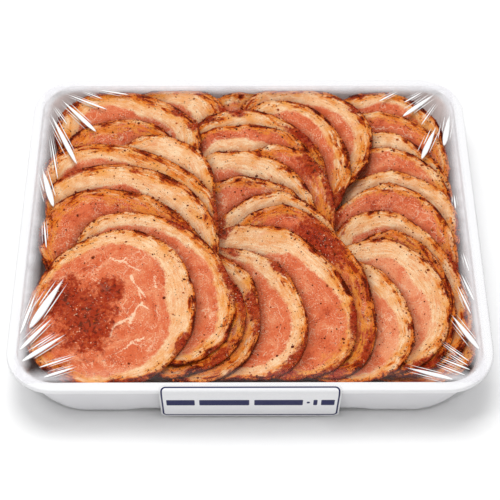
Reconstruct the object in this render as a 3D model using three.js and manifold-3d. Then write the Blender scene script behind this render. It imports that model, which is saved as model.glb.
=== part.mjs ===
// Pack of sliced smoked pork loin: a white foam tray with a rolled rim, oval slices laid in three
// shingled columns, clear stretch film drawn over the heap and folded under the tray, and a small
// sticker over the front rim. Millimetres, +Z up, origin under the middle of the pack, front at -Y.

import * as THREE from 'three';
import { mergeVertices } from 'three/addons/utils/BufferGeometryUtils.js';
import Module from 'manifold-3d';

const wasm = await Module();
wasm.setup();

// ---- driving sizes -------------------------------------------------------------------------

const TRAY_WIDTH = 290;
const TRAY_DEPTH = 260;
const TRAY_HEIGHT = 38;
const TRAY_LIFT = 0.7;            // the tray stands on the film folded under it
const FOAM = 3.5;                 // wall and floor thickness
const RIM_WIDTH = 6.5;
const RIM_CORNER = 30;            // outer corner radius of the rim, in plan
const LIP_DROP = 4.2;             // height of the rim's outer lip
const BASE_INSET = 11;            // the wall leans in this far from the rim to the base
const BASE_CORNER = 36;
const FOOT_DROP = 1.8;            // four corner feet stand this much lower than the base panel
const FOOT_START = 0.72;          // where a foot begins, as a share of the side's straight half
const FLOOR_Z = TRAY_LIFT + FOOT_DROP + FOAM;
const RIM_Z = TRAY_LIFT + TRAY_HEIGHT;

const FILM = 0.4;
const GAP = 0.3;                  // clearance between pieces that touch
const FILM_FOLD = 30;             // width of the film turned under the base
const DOME_CLEAR = 1.6;           // film above the heap's middle

const SLICE_THICKNESS = 2.5;
const HEAP_EDGE_Z = 36;           // the heap's surface beside the tray wall
const HEAP_RISE = 8.5;            // how much higher it is in the middle
const GRID = 22;                  // spacing of the net that the slices are draped on
const SHINGLE_SLOPE = 0.8;        // steepest rise of a slice out from under the next one
const SHINGLE_BEND = 8;           // radius it bends with
const OUTLINE_POINTS = 16;
const OUTLINE_WAVE = 0.018;       // unevenness of a slice's oval outline

const LABEL_WIDTH = 107;
const LABEL_THICKNESS = 0.25;
const LABEL_ON_RIM = 3.2;         // the sticker starts this far back on the rim
const LABEL_BOTTOM_Z = 1.4;
const LABEL_CORNER = 2.5;

// Where each slice lies: centre, long and wide axis in millimetres, and turn of the long axis in
// degrees. Each column is listed from its top slice, at the front, to its lowest, at the back.
const LEFT_COLUMN = [
  { x: -83, y: -66, long: 116, wide: 100, turn: -84, bulge: { towards: 225, share: 0.13 } },
  { x: -60, y: -50, long: 128, wide: 88, turn: -57 },
  { x: -77, y: -25, long: 127, wide: 89, turn: -37 },
  { x: -49, y: -67, long: 104, wide: 87, turn: -61 },
  { x: -75, y: 0, long: 124, wide: 87, turn: -39 },
  { x: -36, y: -67, long: 108, wide: 85, turn: -72 },
  { x: -78, y: 19, long: 131, wide: 84, turn: -38 },
  { x: -63, y: 23, long: 106, wide: 83, turn: -93 },
  { x: -86, y: 44, long: 100, wide: 91, turn: -81 },
  { x: -81, y: 74, long: 104, wide: 90, turn: -47 },
  { x: -50, y: 78, long: 104, wide: 86, turn: -70 },
];
const MIDDLE_COLUMN = [
  { x: -13, y: -67, long: 118, wide: 85, turn: -59 },
  { x: 9, y: -56, long: 132, wide: 92, turn: -51, bulge: { towards: -70, share: 0.07 } },
  { x: 28, y: -47, long: 132, wide: 82, turn: -59, bulge: { towards: -82, share: 0.15 } },
  { x: 15, y: -24, long: 102, wide: 87, turn: -60 },
  { x: 1, y: -10, long: 103, wide: 86, turn: -68 },
  { x: -7, y: 16, long: 106, wide: 86, turn: -29 },
  { x: 15, y: 11, long: 108, wide: 83, turn: -92 },
  { x: -3, y: 43, long: 102, wide: 87, turn: -9 },
  { x: 4, y: 53, long: 110, wide: 83, turn: -48 },
  { x: 24, y: 59, long: 104, wide: 86, turn: -77 },
  { x: 36, y: 79, long: 104, wide: 87, turn: -45 },
  { x: 2, y: 74, long: 100, wide: 90, turn: -80 },
];
const RIGHT_COLUMN = [
  { x: 51, y: -69, long: 114, wide: 85, turn: -53 },
  { x: 74, y: -62, long: 110, wide: 92, turn: -58 },
  { x: 86, y: -60, long: 108, wide: 82, turn: -82 },
  { x: 90, y: -49, long: 128, wide: 83, turn: -67 },
  { x: 87, y: -64, long: 124, wide: 92, turn: -52 },
  { x: 88, y: -18, long: 103, wide: 88, turn: -70 },
  { x: 85, y: 2, long: 104, wide: 86, turn: -13 },
  { x: 87, y: 19, long: 102, wide: 89, turn: -62 },
  { x: 86, y: 33, long: 101, wide: 90, turn: -50 },
  { x: 80, y: 58, long: 110, wide: 86, turn: -19 },
  { x: 88, y: 70, long: 103, wide: 88, turn: -83 },
];

// ---- materials -----------------------------------------------------------------------------

function material(color, roughness) {
  return new THREE.MeshStandardMaterial({ color, roughness, metalness: 0 });
}

const foam = material(0xf4f4f6, 0.55);
const filmSheet = material(0xf2f4f8, 0.08);
const paper = material(0xeef0f6, 0.5);
const meats = [material(0xe0a183, 0.4), material(0xd98c72, 0.4), material(0xe6b48f, 0.4)];

// ---- closed surfaces from rings ------------------------------------------------------------

// Stations evenly round a corner, and along the straight side that follows it, where 1 and -1 are
// the side's ends: the tray's step up to its base panel, and the film's are spread for the dome.
const CORNER_STATIONS = [0, 1 / 3, 2 / 3, 1];
const TRAY_STATIONS = [FOOT_START + 0.07, FOOT_START - 0.05, 0.05 - FOOT_START, -0.07 - FOOT_START];
const FILM_STATIONS = [0.5, 0, -0.5];

// A rounded rectangle as [x, y, side] points, anticlockwise. side is 0 on a corner arc, and on a
// straight side it tells how far along the half it is, 1 at the corner and 0 in the middle.
function roundedRectangle(halfX, halfY, radius, sideStations) {
  const straightX = halfX - radius;
  const straightY = halfY - radius;
  const points = [];
  for (let quarter = 0; quarter < 4; quarter += 1) {
    const signX = quarter === 0 || quarter === 3 ? 1 : -1;
    const signY = quarter < 2 ? 1 : -1;
    for (const share of CORNER_STATIONS) {
      const angle = (quarter + share) * Math.PI / 2;
      const x = signX * straightX + radius * Math.cos(angle);
      const y = signY * straightY + radius * Math.sin(angle);
      points.push([x, y, 1]);
    }
    for (const share of sideStations) {
      const middle = Math.abs(share);
      if (quarter === 0) points.push([share * straightX, halfY, middle]);
      if (quarter === 1) points.push([-halfX, share * straightY, middle]);
      if (quarter === 2) points.push([-share * straightX, -halfY, middle]);
      if (quarter === 3) points.push([halfX, -share * straightY, middle]);
    }
  }
  return points;
}

// A ring at some inset from the rim's outer edge. height is a number or a function of the point.
function ring(inset, radius, height, stations = TRAY_STATIONS) {
  const halfX = TRAY_WIDTH / 2 - inset;
  const halfY = TRAY_DEPTH / 2 - inset;
  const outline = roundedRectangle(halfX, halfY, radius, stations);
  return outline.map(([x, y, side]) => {
    const z = typeof height === 'function' ? height(x, y, side) : height;
    return new THREE.Vector3(x, y, z);
  });
}

// Joins rings into one closed surface, with a fan to a centre point at each end. The rings run
// from the underside outwards and up, so that the faces point out.
function closedLoft(firstCentre, rings, lastCentre) {
  const count = rings[0].length;
  const positions = [firstCentre, ...rings.flat(), lastCentre].flatMap((p) => [p.x, p.y, p.z]);
  const indices = [];
  const lastIndex = 1 + rings.length * count;
  for (let i = 0; i < count; i += 1) {
    const next = (i + 1) % count;
    indices.push(0, 1 + next, 1 + i);
    for (let r = 0; r + 1 < rings.length; r += 1) {
      const low = 1 + r * count;
      const high = low + count;
      indices.push(low + i, low + next, high + i);
      indices.push(low + next, high + next, high + i);
    }
    const last = lastIndex - count;
    indices.push(last + i, last + next, lastIndex);
  }
  const geometry = new THREE.BufferGeometry();
  geometry.setAttribute('position', new THREE.Float32BufferAttribute(positions, 3));
  geometry.setIndex(indices);
  return geometry;
}

const centre = (z) => new THREE.Vector3(0, 0, z);

// ---- tray ----------------------------------------------------------------------------------

const WALL_TOP_Z = RIM_Z - LIP_DROP;
const INNER_CORNER = RIM_CORNER - RIM_WIDTH;
const FLOOR_CORNER = 30;
const FLOOR_INSET = BASE_INSET + FOAM;

// Stations of the inner wall, from the rim's inner edge down to the floor.
const INNER_WALL = [
  { inset: RIM_WIDTH, radius: INNER_CORNER, z: RIM_Z - 0.5 },
  { inset: RIM_WIDTH + 1, radius: INNER_CORNER, z: RIM_Z - 3.5 },
  { inset: FLOOR_INSET - 1.5, radius: FLOOR_CORNER, z: FLOOR_Z + 4 },
  { inset: FLOOR_INSET + 2.5, radius: FLOOR_CORNER, z: FLOOR_Z },
];

// The base panel is raised between the corner feet.
function footHeight(x, y, side) {
  return side > FOOT_START ? TRAY_LIFT : TRAY_LIFT + FOOT_DROP;
}

function trayGeometry() {
  const panelZ = TRAY_LIFT + FOOT_DROP;
  const rings = [
    ring(BASE_INSET + 22, BASE_CORNER - 16, panelZ),
    ring(BASE_INSET + 17, BASE_CORNER - 12, footHeight),
    ring(BASE_INSET + 3, BASE_CORNER, footHeight),
    ring(BASE_INSET, BASE_CORNER, (x, y, side) => footHeight(x, y, side) + 2.5),
    ring(3, RIM_CORNER + 1, WALL_TOP_Z),
    ring(0, RIM_CORNER, WALL_TOP_Z + 0.5),
    ring(0, RIM_CORNER, RIM_Z - 1),
    ring(1, RIM_CORNER - 1, RIM_Z),
    ring(RIM_WIDTH - 1, INNER_CORNER + 1, RIM_Z),
    ...INNER_WALL.map((station) => ring(station.inset, station.radius, station.z)),
  ];
  return closedLoft(centre(panelZ), rings, centre(FLOOR_Z));
}

// The room that the slices may fill: the tray's inside less a clearance, open upwards.
function cavityGeometry() {
  const wall = [...INNER_WALL].reverse();
  const rings = wall.map(({ inset, radius, z }) => ring(inset + GAP, radius, z + GAP));
  const top = HEAP_EDGE_Z + HEAP_RISE + 20;
  rings.push(ring(RIM_WIDTH + GAP, INNER_CORNER, top));
  return closedLoft(centre(FLOOR_Z + GAP), rings, centre(top));
}

// ---- heap and film -------------------------------------------------------------------------

// Height of the heap's upper surface: a shallow cushion, highest in the middle.
function heapSurface(x, y) {
  const acrossX = Math.min(1, Math.abs(x) / (TRAY_WIDTH / 2 - RIM_WIDTH));
  const acrossY = Math.min(1, Math.abs(y) / (TRAY_DEPTH / 2 - RIM_WIDTH));
  return HEAP_EDGE_Z + HEAP_RISE * (1 - acrossX ** 2) * (1 - acrossY ** 2);
}

// The stretched film over the heap: level with the rim at the rim, and clear of the heap inside.
function filmUnderside(x, y) {
  const domeRise = HEAP_EDGE_Z + HEAP_RISE + DOME_CLEAR - (RIM_Z + GAP);
  const acrossX = Math.min(1, Math.abs(x) / (TRAY_WIDTH / 2 - RIM_WIDTH + 1));
  const acrossY = Math.min(1, Math.abs(y) / (TRAY_DEPTH / 2 - RIM_WIDTH + 1));
  return RIM_Z + GAP + domeRise * (1 - acrossX ** 2) * (1 - acrossY ** 2);
}

const DOME_INSETS = [95, 50, 18];

// One face of the film, from the middle of the top down to the edge of the fold underneath.
// offset is how far that face stands off the tray, beyond which the film is solid.
function filmFace(offset) {
  const filmRing = (inset, radius, height) => ring(inset, radius, height, FILM_STATIONS);
  const dome = DOME_INSETS.map((inset) => {
    const radius = INNER_CORNER - inset * 0.18;
    return filmRing(inset, radius, (x, y) => filmUnderside(x, y) + offset);
  });
  const off = GAP + offset;
  return [
    ...dome,
    filmRing(RIM_WIDTH - 1, INNER_CORNER + 1, RIM_Z + off),
    filmRing(1, RIM_CORNER - 1, RIM_Z + off),
    filmRing(-off, RIM_CORNER + off, RIM_Z - 1),
    filmRing(-off, RIM_CORNER + off, WALL_TOP_Z + 0.5),
    filmRing(BASE_INSET - 1 - off, BASE_CORNER + off, TRAY_LIFT + 2),
    filmRing(BASE_INSET + 3 - off, BASE_CORNER + off, FILM - offset),
    filmRing(BASE_INSET + FILM_FOLD, 16, FILM - offset),
  ];
}

function filmGeometry() {
  const outer = filmFace(FILM);
  const inner = filmFace(0);
  const apex = filmUnderside(0, 0);
  const geometry = closedLoft(centre(apex), [...inner, ...outer.reverse()], centre(apex + FILM));
  return geometry;
}

// ---- slices --------------------------------------------------------------------------------

// A slice's oval outline, slightly uneven, with its own phase for each slice. A few reach further
// towards one side, by a share of their radius.
function sliceOutline(slice, number) {
  const turn = THREE.MathUtils.degToRad(slice.turn);
  const phase = (number + 1) * 2.4;
  const bulge = slice.bulge ?? { towards: 0, share: 0 };
  const side = THREE.MathUtils.degToRad(bulge.towards - slice.turn);
  const points = [];
  for (let i = 0; i < OUTLINE_POINTS; i += 1) {
    const angle = i * 2 * Math.PI / OUTLINE_POINTS;
    const wave = 1
      + bulge.share * Math.exp(3 * (Math.cos(angle - side) - 1))
      + OUTLINE_WAVE * Math.cos(2 * angle + phase)
      + OUTLINE_WAVE * Math.cos(3 * angle + 1.7 * phase);
    const along = 0.5 * slice.long * wave * Math.cos(angle);
    const across = 0.5 * slice.wide * wave * Math.sin(angle);
    const x = slice.x + along * Math.cos(turn) - across * Math.sin(turn);
    const y = slice.y + along * Math.sin(turn) + across * Math.cos(turn);
    points.push(new THREE.Vector2(x, y));
  }
  return points;
}

function insideOutline(outline, x, y) {
  let inside = false;
  outline.forEach((a, i) => {
    const b = outline[(i + 1) % outline.length];
    const crosses = (a.y > y) !== (b.y > y);
    if (crosses && x < (b.x - a.x) * (y - a.y) / (b.y - a.y) + a.x) inside = !inside;
  });
  return inside;
}

const COLUMNS = Math.ceil(TRAY_WIDTH / GRID) + 1;
const ROWS = Math.ceil(TRAY_DEPTH / GRID) + 1;
const gridX = (i) => (i - (COLUMNS - 1) / 2) * GRID;
const gridY = (j) => (j - (ROWS - 1) / 2) * GRID;
const node = (i, j) => j * COLUMNS + i;

// How fast a slice may rise away from a point that holds it down: first a bend, then a slope.
function riseAllowed(distance) {
  const bendEnd = SHINGLE_SLOPE * SHINGLE_BEND;
  if (distance < bendEnd) return distance ** 2 / (2 * SHINGLE_BEND);
  return SHINGLE_SLOPE * (distance - bendEnd / 2);
}

// The slice's upper face on the net: as high as the heap's surface and the slices over it allow.
function drapedTop(ceiling) {
  const reach = 4;
  const top = new Float64Array(COLUMNS * ROWS);
  for (let j = 0; j < ROWS; j += 1) {
    for (let i = 0; i < COLUMNS; i += 1) {
      let lowest = Infinity;
      for (let dj = -reach; dj <= reach; dj += 1) {
        for (let di = -reach; di <= reach; di += 1) {
          const inNet = i + di >= 0 && i + di < COLUMNS && j + dj >= 0 && j + dj < ROWS;
          if (inNet) {
            const held = ceiling(i + di, j + dj);
            lowest = Math.min(lowest, held + riseAllowed(Math.hypot(di, dj) * GRID));
          }
        }
      }
      top[node(i, j)] = lowest;
    }
  }
  return top;
}

// The net's corners that carry a slice: all three of every triangle that the slice covers.
function carryingNodes(outline) {
  const carrying = new Set();
  const step = GRID / 8;
  for (let x = gridX(0); x <= gridX(COLUMNS - 1); x += step) {
    for (let y = gridY(0); y <= gridY(ROWS - 1); y += step) {
      if (insideOutline(outline, x, y)) {
        const u = x / GRID + (COLUMNS - 1) / 2;
        const v = y / GRID + (ROWS - 1) / 2;
        const i = Math.min(COLUMNS - 2, Math.floor(u));
        const j = Math.min(ROWS - 2, Math.floor(v));
        carrying.add(node(i + 1, j));
        carrying.add(node(i, j + 1));
        carrying.add(u - i + v - j < 1 ? node(i, j) : node(i + 1, j + 1));
      }
    }
  }
  return carrying;
}

// A closed slab over the net between two heights at every corner.
function slabGeometry(top, thickness) {
  const positions = [];
  for (const drop of [0, thickness]) {
    for (let j = 0; j < ROWS; j += 1) {
      for (let i = 0; i < COLUMNS; i += 1) {
        positions.push(gridX(i), gridY(j), top[node(i, j)] - drop);
      }
    }
  }
  const under = COLUMNS * ROWS;
  const indices = [];
  for (let j = 0; j + 1 < ROWS; j += 1) {
    for (let i = 0; i + 1 < COLUMNS; i += 1) {
      const a = node(i, j);
      const b = node(i + 1, j);
      const c = node(i + 1, j + 1);
      const d = node(i, j + 1);
      indices.push(a, b, d, b, c, d);
      indices.push(under + a, under + d, under + b, under + b, under + d, under + c);
    }
  }
  const wall = (p, q) => indices.push(p, under + p, q, q, under + p, under + q);
  for (let i = 0; i + 1 < COLUMNS; i += 1) {
    wall(node(i, 0), node(i + 1, 0));
    wall(node(i + 1, ROWS - 1), node(i, ROWS - 1));
  }
  for (let j = 0; j + 1 < ROWS; j += 1) {
    wall(node(0, j + 1), node(0, j));
    wall(node(COLUMNS - 1, j), node(COLUMNS - 1, j + 1));
  }
  const geometry = new THREE.BufferGeometry();
  geometry.setAttribute('position', new THREE.Float32BufferAttribute(positions, 3));
  geometry.setIndex(indices);
  return geometry;
}

function prismGeometry(outline) {
  const height = HEAP_EDGE_Z + HEAP_RISE + 40;
  const geometry = new THREE.ExtrudeGeometry(new THREE.Shape(outline), {
    depth: height,
    bevelEnabled: false,
  });
  geometry.translate(0, 0, -20);
  return geometry;
}

// ---- booleans ------------------------------------------------------------------------------

function toSolid(geometry) {
  const bare = geometry.clone();
  bare.deleteAttribute('normal');
  bare.deleteAttribute('uv');
  const merged = mergeVertices(bare, 1e-4);
  return new wasm.Manifold(new wasm.Mesh({
    numProp: 3,
    vertProperties: new Float32Array(merged.attributes.position.array),
    triVerts: new Uint32Array(merged.index.array),
  }));
}

function toGeometry(solid) {
  const mesh = solid.getMesh();
  const geometry = new THREE.BufferGeometry();
  geometry.setAttribute('position', new THREE.BufferAttribute(mesh.vertProperties, 3));
  geometry.setIndex(new THREE.BufferAttribute(mesh.triVerts, 1));
  geometry.computeVertexNormals();
  return geometry;
}

// ---- sticker -------------------------------------------------------------------------------

// The sticker follows the film: from the rim's top over the lip, then down the drawn film.
function labelGeometry() {
  const front = -TRAY_DEPTH / 2;
  const off = GAP + FILM + GAP;
  const filmFoot = { y: front + BASE_INSET - 2.2 - off, z: TRAY_LIFT + 2 };
  const lipFoot = { y: front - off, z: WALL_TOP_Z + 0.5 };
  const path = [
    { y: front + LABEL_ON_RIM, z: RIM_Z + off },
    { y: front + 0.9, z: RIM_Z + off },
    { y: front - off, z: RIM_Z - 0.9 },
    lipFoot,
    {
      y: THREE.MathUtils.lerp(lipFoot.y, filmFoot.y, 0.5),
      z: THREE.MathUtils.lerp(lipFoot.z, filmFoot.z, 0.5),
    },
    filmFoot,
    { y: filmFoot.y - 0.1, z: LABEL_BOTTOM_Z },
  ];
  const half = LABEL_WIDTH / 2;
  const narrowed = (k) => (k === 0 || k === path.length - 1 ? half - LABEL_CORNER : half);
  const outward = [[0, 1], [-0.4, 0.9], [-1, 0.3], [-1, 0], [-1, -0.2], [-1, -0.2], [-1, -0.2]];
  const positions = [];
  path.forEach((point, k) => {
    const [outY, outZ] = outward[k];
    for (const thick of [0, LABEL_THICKNESS]) {
      for (const side of [-1, 1]) {
        positions.push(side * narrowed(k), point.y + outY * thick, point.z + outZ * thick);
      }
    }
  });
  const indices = [];
  const quad = (a, b, c, d) => indices.push(a, b, c, a, c, d);
  for (let k = 0; k + 1 < path.length; k += 1) {
    const here = 4 * k;
    const next = here + 4;
    quad(here + 2, next + 2, next + 3, here + 3);
    quad(here, here + 1, next + 1, next);
    quad(here, next, next + 2, here + 2);
    quad(here + 1, here + 3, next + 3, next + 1);
  }
  const end = 4 * (path.length - 1);
  quad(0, 2, 3, 1);
  quad(end, end + 1, end + 3, end + 2);
  const geometry = new THREE.BufferGeometry();
  geometry.setAttribute('position', new THREE.Float32BufferAttribute(positions, 3));
  geometry.setIndex(indices);
  return geometry;
}

// ---- the pack ------------------------------------------------------------------------------

function namedMesh(name, geometry, look) {
  const mesh = new THREE.Mesh(geometry, look);
  mesh.name = name;
  return mesh;
}

// The slices in the order they lie, from the top one down. The left column's last slice lies
// under the first nine of the middle column.
function slicesInOrder() {
  const columns = { left: LEFT_COLUMN, middle: MIDDLE_COLUMN, right: RIGHT_COLUMN };
  const slices = Object.entries(columns).flatMap(([columnName, column]) => column.map((slice, i) => ({
    ...slice,
    name: `slice_${columnName}_${String(i + 1).padStart(2, '0')}`,
  })));
  slices.forEach((slice, number) => { slice.number = number; });
  const left = slices.slice(0, LEFT_COLUMN.length);
  const rest = slices.slice(LEFT_COLUMN.length);
  return [...left.slice(0, -1), ...rest.slice(0, 9), ...left.slice(-1), ...rest.slice(9)];
}

// Each slice hangs below the ones already placed.
function sliceMeshes() {
  const cavity = toSolid(cavityGeometry());
  const underside = new Float64Array(COLUMNS * ROWS).fill(Infinity);
  const ceiling = (i, j) => {
    return Math.min(heapSurface(gridX(i), gridY(j)), underside[node(i, j)] - GAP);
  };
  return slicesInOrder().map((slice) => {
    const outline = sliceOutline(slice, slice.number);
    const top = drapedTop(ceiling);
    const slab = toSolid(slabGeometry(top, SLICE_THICKNESS));
    const solid = slab.intersect(toSolid(prismGeometry(outline))).intersect(cavity);
    for (const corner of carryingNodes(outline)) {
      underside[corner] = Math.min(underside[corner], top[corner] - SLICE_THICKNESS);
    }
    return namedMesh(slice.name, toGeometry(solid), meats[slice.number % meats.length]);
  });
}

const pack = new THREE.Group();
pack.add(namedMesh('tray', trayGeometry(), foam));
pack.add(...sliceMeshes());
pack.add(namedMesh('film', filmGeometry(), filmSheet));
pack.add(namedMesh('label', labelGeometry(), paper));

export default pack;
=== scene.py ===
"""The looks of a wrapped pack of sliced smoked pork loin.

A white foam tray holds three shingled columns of oval slices. Clear stretch film is drawn over the
heap and folded under the tray, and a small sticker goes over the front rim. Sizes are millimetres
and turns are degrees, +X to the right, +Y to the back, +Z up. Meshes are written in metres.
"""

import logging
import math
from dataclasses import dataclass, field
from enum import Enum
from itertools import combinations
from typing import Any

import bpy
import numpy as np
from mathutils import Matrix, Vector


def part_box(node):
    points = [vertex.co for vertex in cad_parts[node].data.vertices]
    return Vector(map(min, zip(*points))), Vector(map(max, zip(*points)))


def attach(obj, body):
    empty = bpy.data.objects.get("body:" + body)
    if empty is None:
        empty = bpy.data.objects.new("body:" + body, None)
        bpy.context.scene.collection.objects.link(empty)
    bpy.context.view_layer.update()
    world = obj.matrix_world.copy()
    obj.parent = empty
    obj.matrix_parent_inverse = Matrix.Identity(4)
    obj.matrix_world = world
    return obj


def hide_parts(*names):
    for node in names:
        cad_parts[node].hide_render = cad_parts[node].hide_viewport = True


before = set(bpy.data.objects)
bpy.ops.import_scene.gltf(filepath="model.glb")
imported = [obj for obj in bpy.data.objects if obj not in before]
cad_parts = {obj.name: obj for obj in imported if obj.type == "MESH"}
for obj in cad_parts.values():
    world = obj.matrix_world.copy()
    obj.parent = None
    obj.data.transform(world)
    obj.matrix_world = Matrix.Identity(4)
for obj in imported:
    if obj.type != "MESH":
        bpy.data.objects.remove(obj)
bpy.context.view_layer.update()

Array = np.ndarray
Colour = tuple[int, int, int]

MM = 0.001
BODY = "root"
PLAN_MAP = "plan"
TINY = 1e-6
FAR = 50.0
RIPPLE_WAVES = 6
log = logging.getLogger("pack")


class Slot(Enum):
    """The record's material slots."""

    FOAM = "foam"
    MEAT = "meat"
    FILM = "film"
    STICKER = "sticker"


# ---- shader graphs ---------------------------------------------------------------------------


def linear(colour: Colour) -> tuple[float, float, float, float]:
    """Turns a colour as seen on a screen into a linear one, by the usual screen curve.

    Args:
        colour: red, green and blue from 0 to 255.

    Returns:
        Linear red, green, blue and an alpha of 1.
    """
    shares = np.array(colour, float) / 255.0
    curve = np.where(shares <= 0.04045, shares / 12.92, ((shares + 0.055) / 1.055) ** 2.4)
    return (*(float(share) for share in curve), 1.0)


class Value:
    """A number that varies over a surface: an output socket that takes Python's operators."""

    def __init__(self, graph: "Graph", socket: bpy.types.NodeSocket) -> None:
        """Wraps a socket of a graph."""
        self.graph = graph
        self.socket = socket

    def math(self, operation: str, first: Any, second: Any = 0.0) -> "Value":
        """Adds a Math node.

        Args:
            operation: the Math node's operation.
            first: its first number or Value.
            second: its second number or Value.

        Returns:
            The node's result.
        """
        return self.graph.value("ShaderNodeMath", {"operation": operation}, {0: first, 1: second})

    def __add__(self, other: Any) -> "Value":
        """Sum."""
        return self.math("ADD", self, other)

    def __radd__(self, other: Any) -> "Value":
        """Sum with a number on the left."""
        return self.math("ADD", other, self)

    def __sub__(self, other: Any) -> "Value":
        """Difference."""
        return self.math("SUBTRACT", self, other)

    def __rsub__(self, other: Any) -> "Value":
        """Difference from a number on the left."""
        return self.math("SUBTRACT", other, self)

    def __mul__(self, other: Any) -> "Value":
        """Product."""
        return self.math("MULTIPLY", self, other)

    def __rmul__(self, other: Any) -> "Value":
        """Product with a number on the left."""
        return self.math("MULTIPLY", other, self)

    def __truediv__(self, other: Any) -> "Value":
        """Quotient."""
        return self.math("DIVIDE", self, other)

    def __rtruediv__(self, other: Any) -> "Value":
        """Quotient of a number on the left."""
        return self.math("DIVIDE", other, self)

    def __abs__(self) -> "Value":
        """Size without sign."""
        return self.math("ABSOLUTE", self)

    def low(self, other: Any) -> "Value":
        """The smaller of this and another."""
        return self.math("MINIMUM", self, other)

    def high(self, other: Any) -> "Value":
        """The larger of this and another."""
        return self.math("MAXIMUM", self, other)

    def step(self, start: float, end: float) -> "Value":
        """A smooth step.

        Args:
            start: the value that gives 0.
            end: the value that gives 1, which may be the smaller of the two.

        Returns:
            0 before start, 1 past end and an S-shaped curve between them.
        """
        settings = {"interpolation_type": "SMOOTHSTEP", "clamp": True}
        falls = float(start > end)
        sides = {0: self, 1: min(start, end), 2: max(start, end), 3: falls, 4: 1.0 - falls}
        return self.graph.value("ShaderNodeMapRange", settings, sides)


class Graph:
    """A material's node tree, filled by method calls."""

    def __init__(self, name: str) -> None:
        """Makes a material of that name with an empty tree."""
        self.material = bpy.data.materials.new(name)
        self.material.use_nodes = True
        self.tree = self.material.node_tree
        self.tree.nodes.clear()

    def node(self, kind: str, settings: dict[str, Any], inputs: dict[Any, Any]) -> bpy.types.Node:
        """Adds a node.

        Args:
            kind: the node's type.
            settings: its properties, set first; "stops" holds a ramp's places and colours.
            inputs: numbers, colours, Values or sockets by socket name or place.

        Returns:
            The new node.
        """
        node = self.tree.nodes.new(kind)
        for key, setting in settings.items():
            if key == "stops":
                self.set_stops(node.color_ramp, setting)
            else:
                setattr(node, key, setting)
        for key, given in inputs.items():
            source = given.socket if isinstance(given, Value) else given
            if isinstance(source, bpy.types.NodeSocket):
                self.tree.links.new(source, node.inputs[key])
            else:
                node.inputs[key].default_value = source
        return node

    @staticmethod
    def set_stops(ramp: bpy.types.ColorRamp, stops: list[tuple[float, Any]]) -> None:
        """Gives a ramp its stops.

        Args:
            ramp: the colour ramp.
            stops: place from 0 to 1 and linear colour of each stop, in order.
        """
        while len(ramp.elements) > 1:
            ramp.elements.remove(ramp.elements[-1])
        for index, (place, colour) in enumerate(stops):
            element = ramp.elements[0] if index == 0 else ramp.elements.new(place)
            element.position = place
            element.color = colour

    def value(self, kind: str, settings: dict[str, Any], inputs: dict[Any, Any], out: Any = 0) -> Value:
        """Adds a node and wraps one of its outputs.

        Args:
            kind: the node's type.
            settings: its properties.
            inputs: its sockets.
            out: the output's name or place.

        Returns:
            That output.
        """
        return Value(self, self.node(kind, settings, inputs).outputs[out])

    def noise(self, where: Value, size: float, detail: float = 2.0, warp: float = 0.0) -> Value:
        """Cloudy noise about 0.

        Args:
            where: the vector it reads, in millimetres.
            size: the width of its clouds, in millimetres.
            detail: how many finer layers it has.
            warp: how far it is distorted.

        Returns:
            A value from about -0.5 to 0.5.
        """
        inputs = {"Vector": where, "Scale": 1.0 / size, "Detail": detail, "Distortion": warp}
        return self.value("ShaderNodeTexNoise", {}, inputs) - 0.5

    def blend(self, share: Any, first: Any, second: Any) -> Value:
        """Mixes two colours.

        Args:
            share: the second colour's share.
            first: a colour or a Value.
            second: a colour or a Value.

        Returns:
            The mixed colour.
        """
        sides = [side if isinstance(side, Value) else linear(side) for side in (first, second)]
        settings = {"data_type": "RGBA", "clamp_factor": True}
        return self.value("ShaderNodeMix", settings, {0: share, 6: sides[0], 7: sides[1]}, 2)

    def attribute(self, name: str) -> Value:
        """The number that a mesh's points carry under that name."""
        return self.value("ShaderNodeAttribute", {"attribute_name": name}, {}, "Fac")

    def plan(self) -> Value:
        """Where a point is on the mesh laid flat, as a vector in millimetres."""
        return self.value("ShaderNodeUVMap", {"uv_map": PLAN_MAP}, {})

    def place(self) -> Value:
        """Where a point is on the object, as a vector in millimetres."""
        return self.scaled(self.value("ShaderNodeTexCoord", {}, {}, "Object"), 1.0 / MM)

    def scaled(self, vector: Value, factor: Any) -> Value:
        """A vector times a number, or times a vector given as three numbers."""
        factors = factor if isinstance(factor, tuple) else (factor, factor, factor)
        return self.value("ShaderNodeVectorMath", {"operation": "MULTIPLY"}, {0: vector, 1: factors})

    def bump(self, height: Value, depth: float) -> Value:
        """A bumped normal.

        Args:
            height: the height, as a share of depth.
            depth: how deep a height of 1 is, in millimetres.

        Returns:
            The normal.
        """
        return self.value("ShaderNodeBump", {}, {"Height": height, "Distance": depth * MM, "Strength": 1.0})

    def finish(self, kind: str, inputs: dict[Any, Any]) -> bpy.types.Material:
        """Adds the last shader node, puts it on the surface and returns the material."""
        shader = self.node(kind, {}, inputs)
        self.node("ShaderNodeOutputMaterial", {}, {"Surface": shader.outputs[0]})
        return self.material


# ---- meshes ----------------------------------------------------------------------------------


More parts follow.
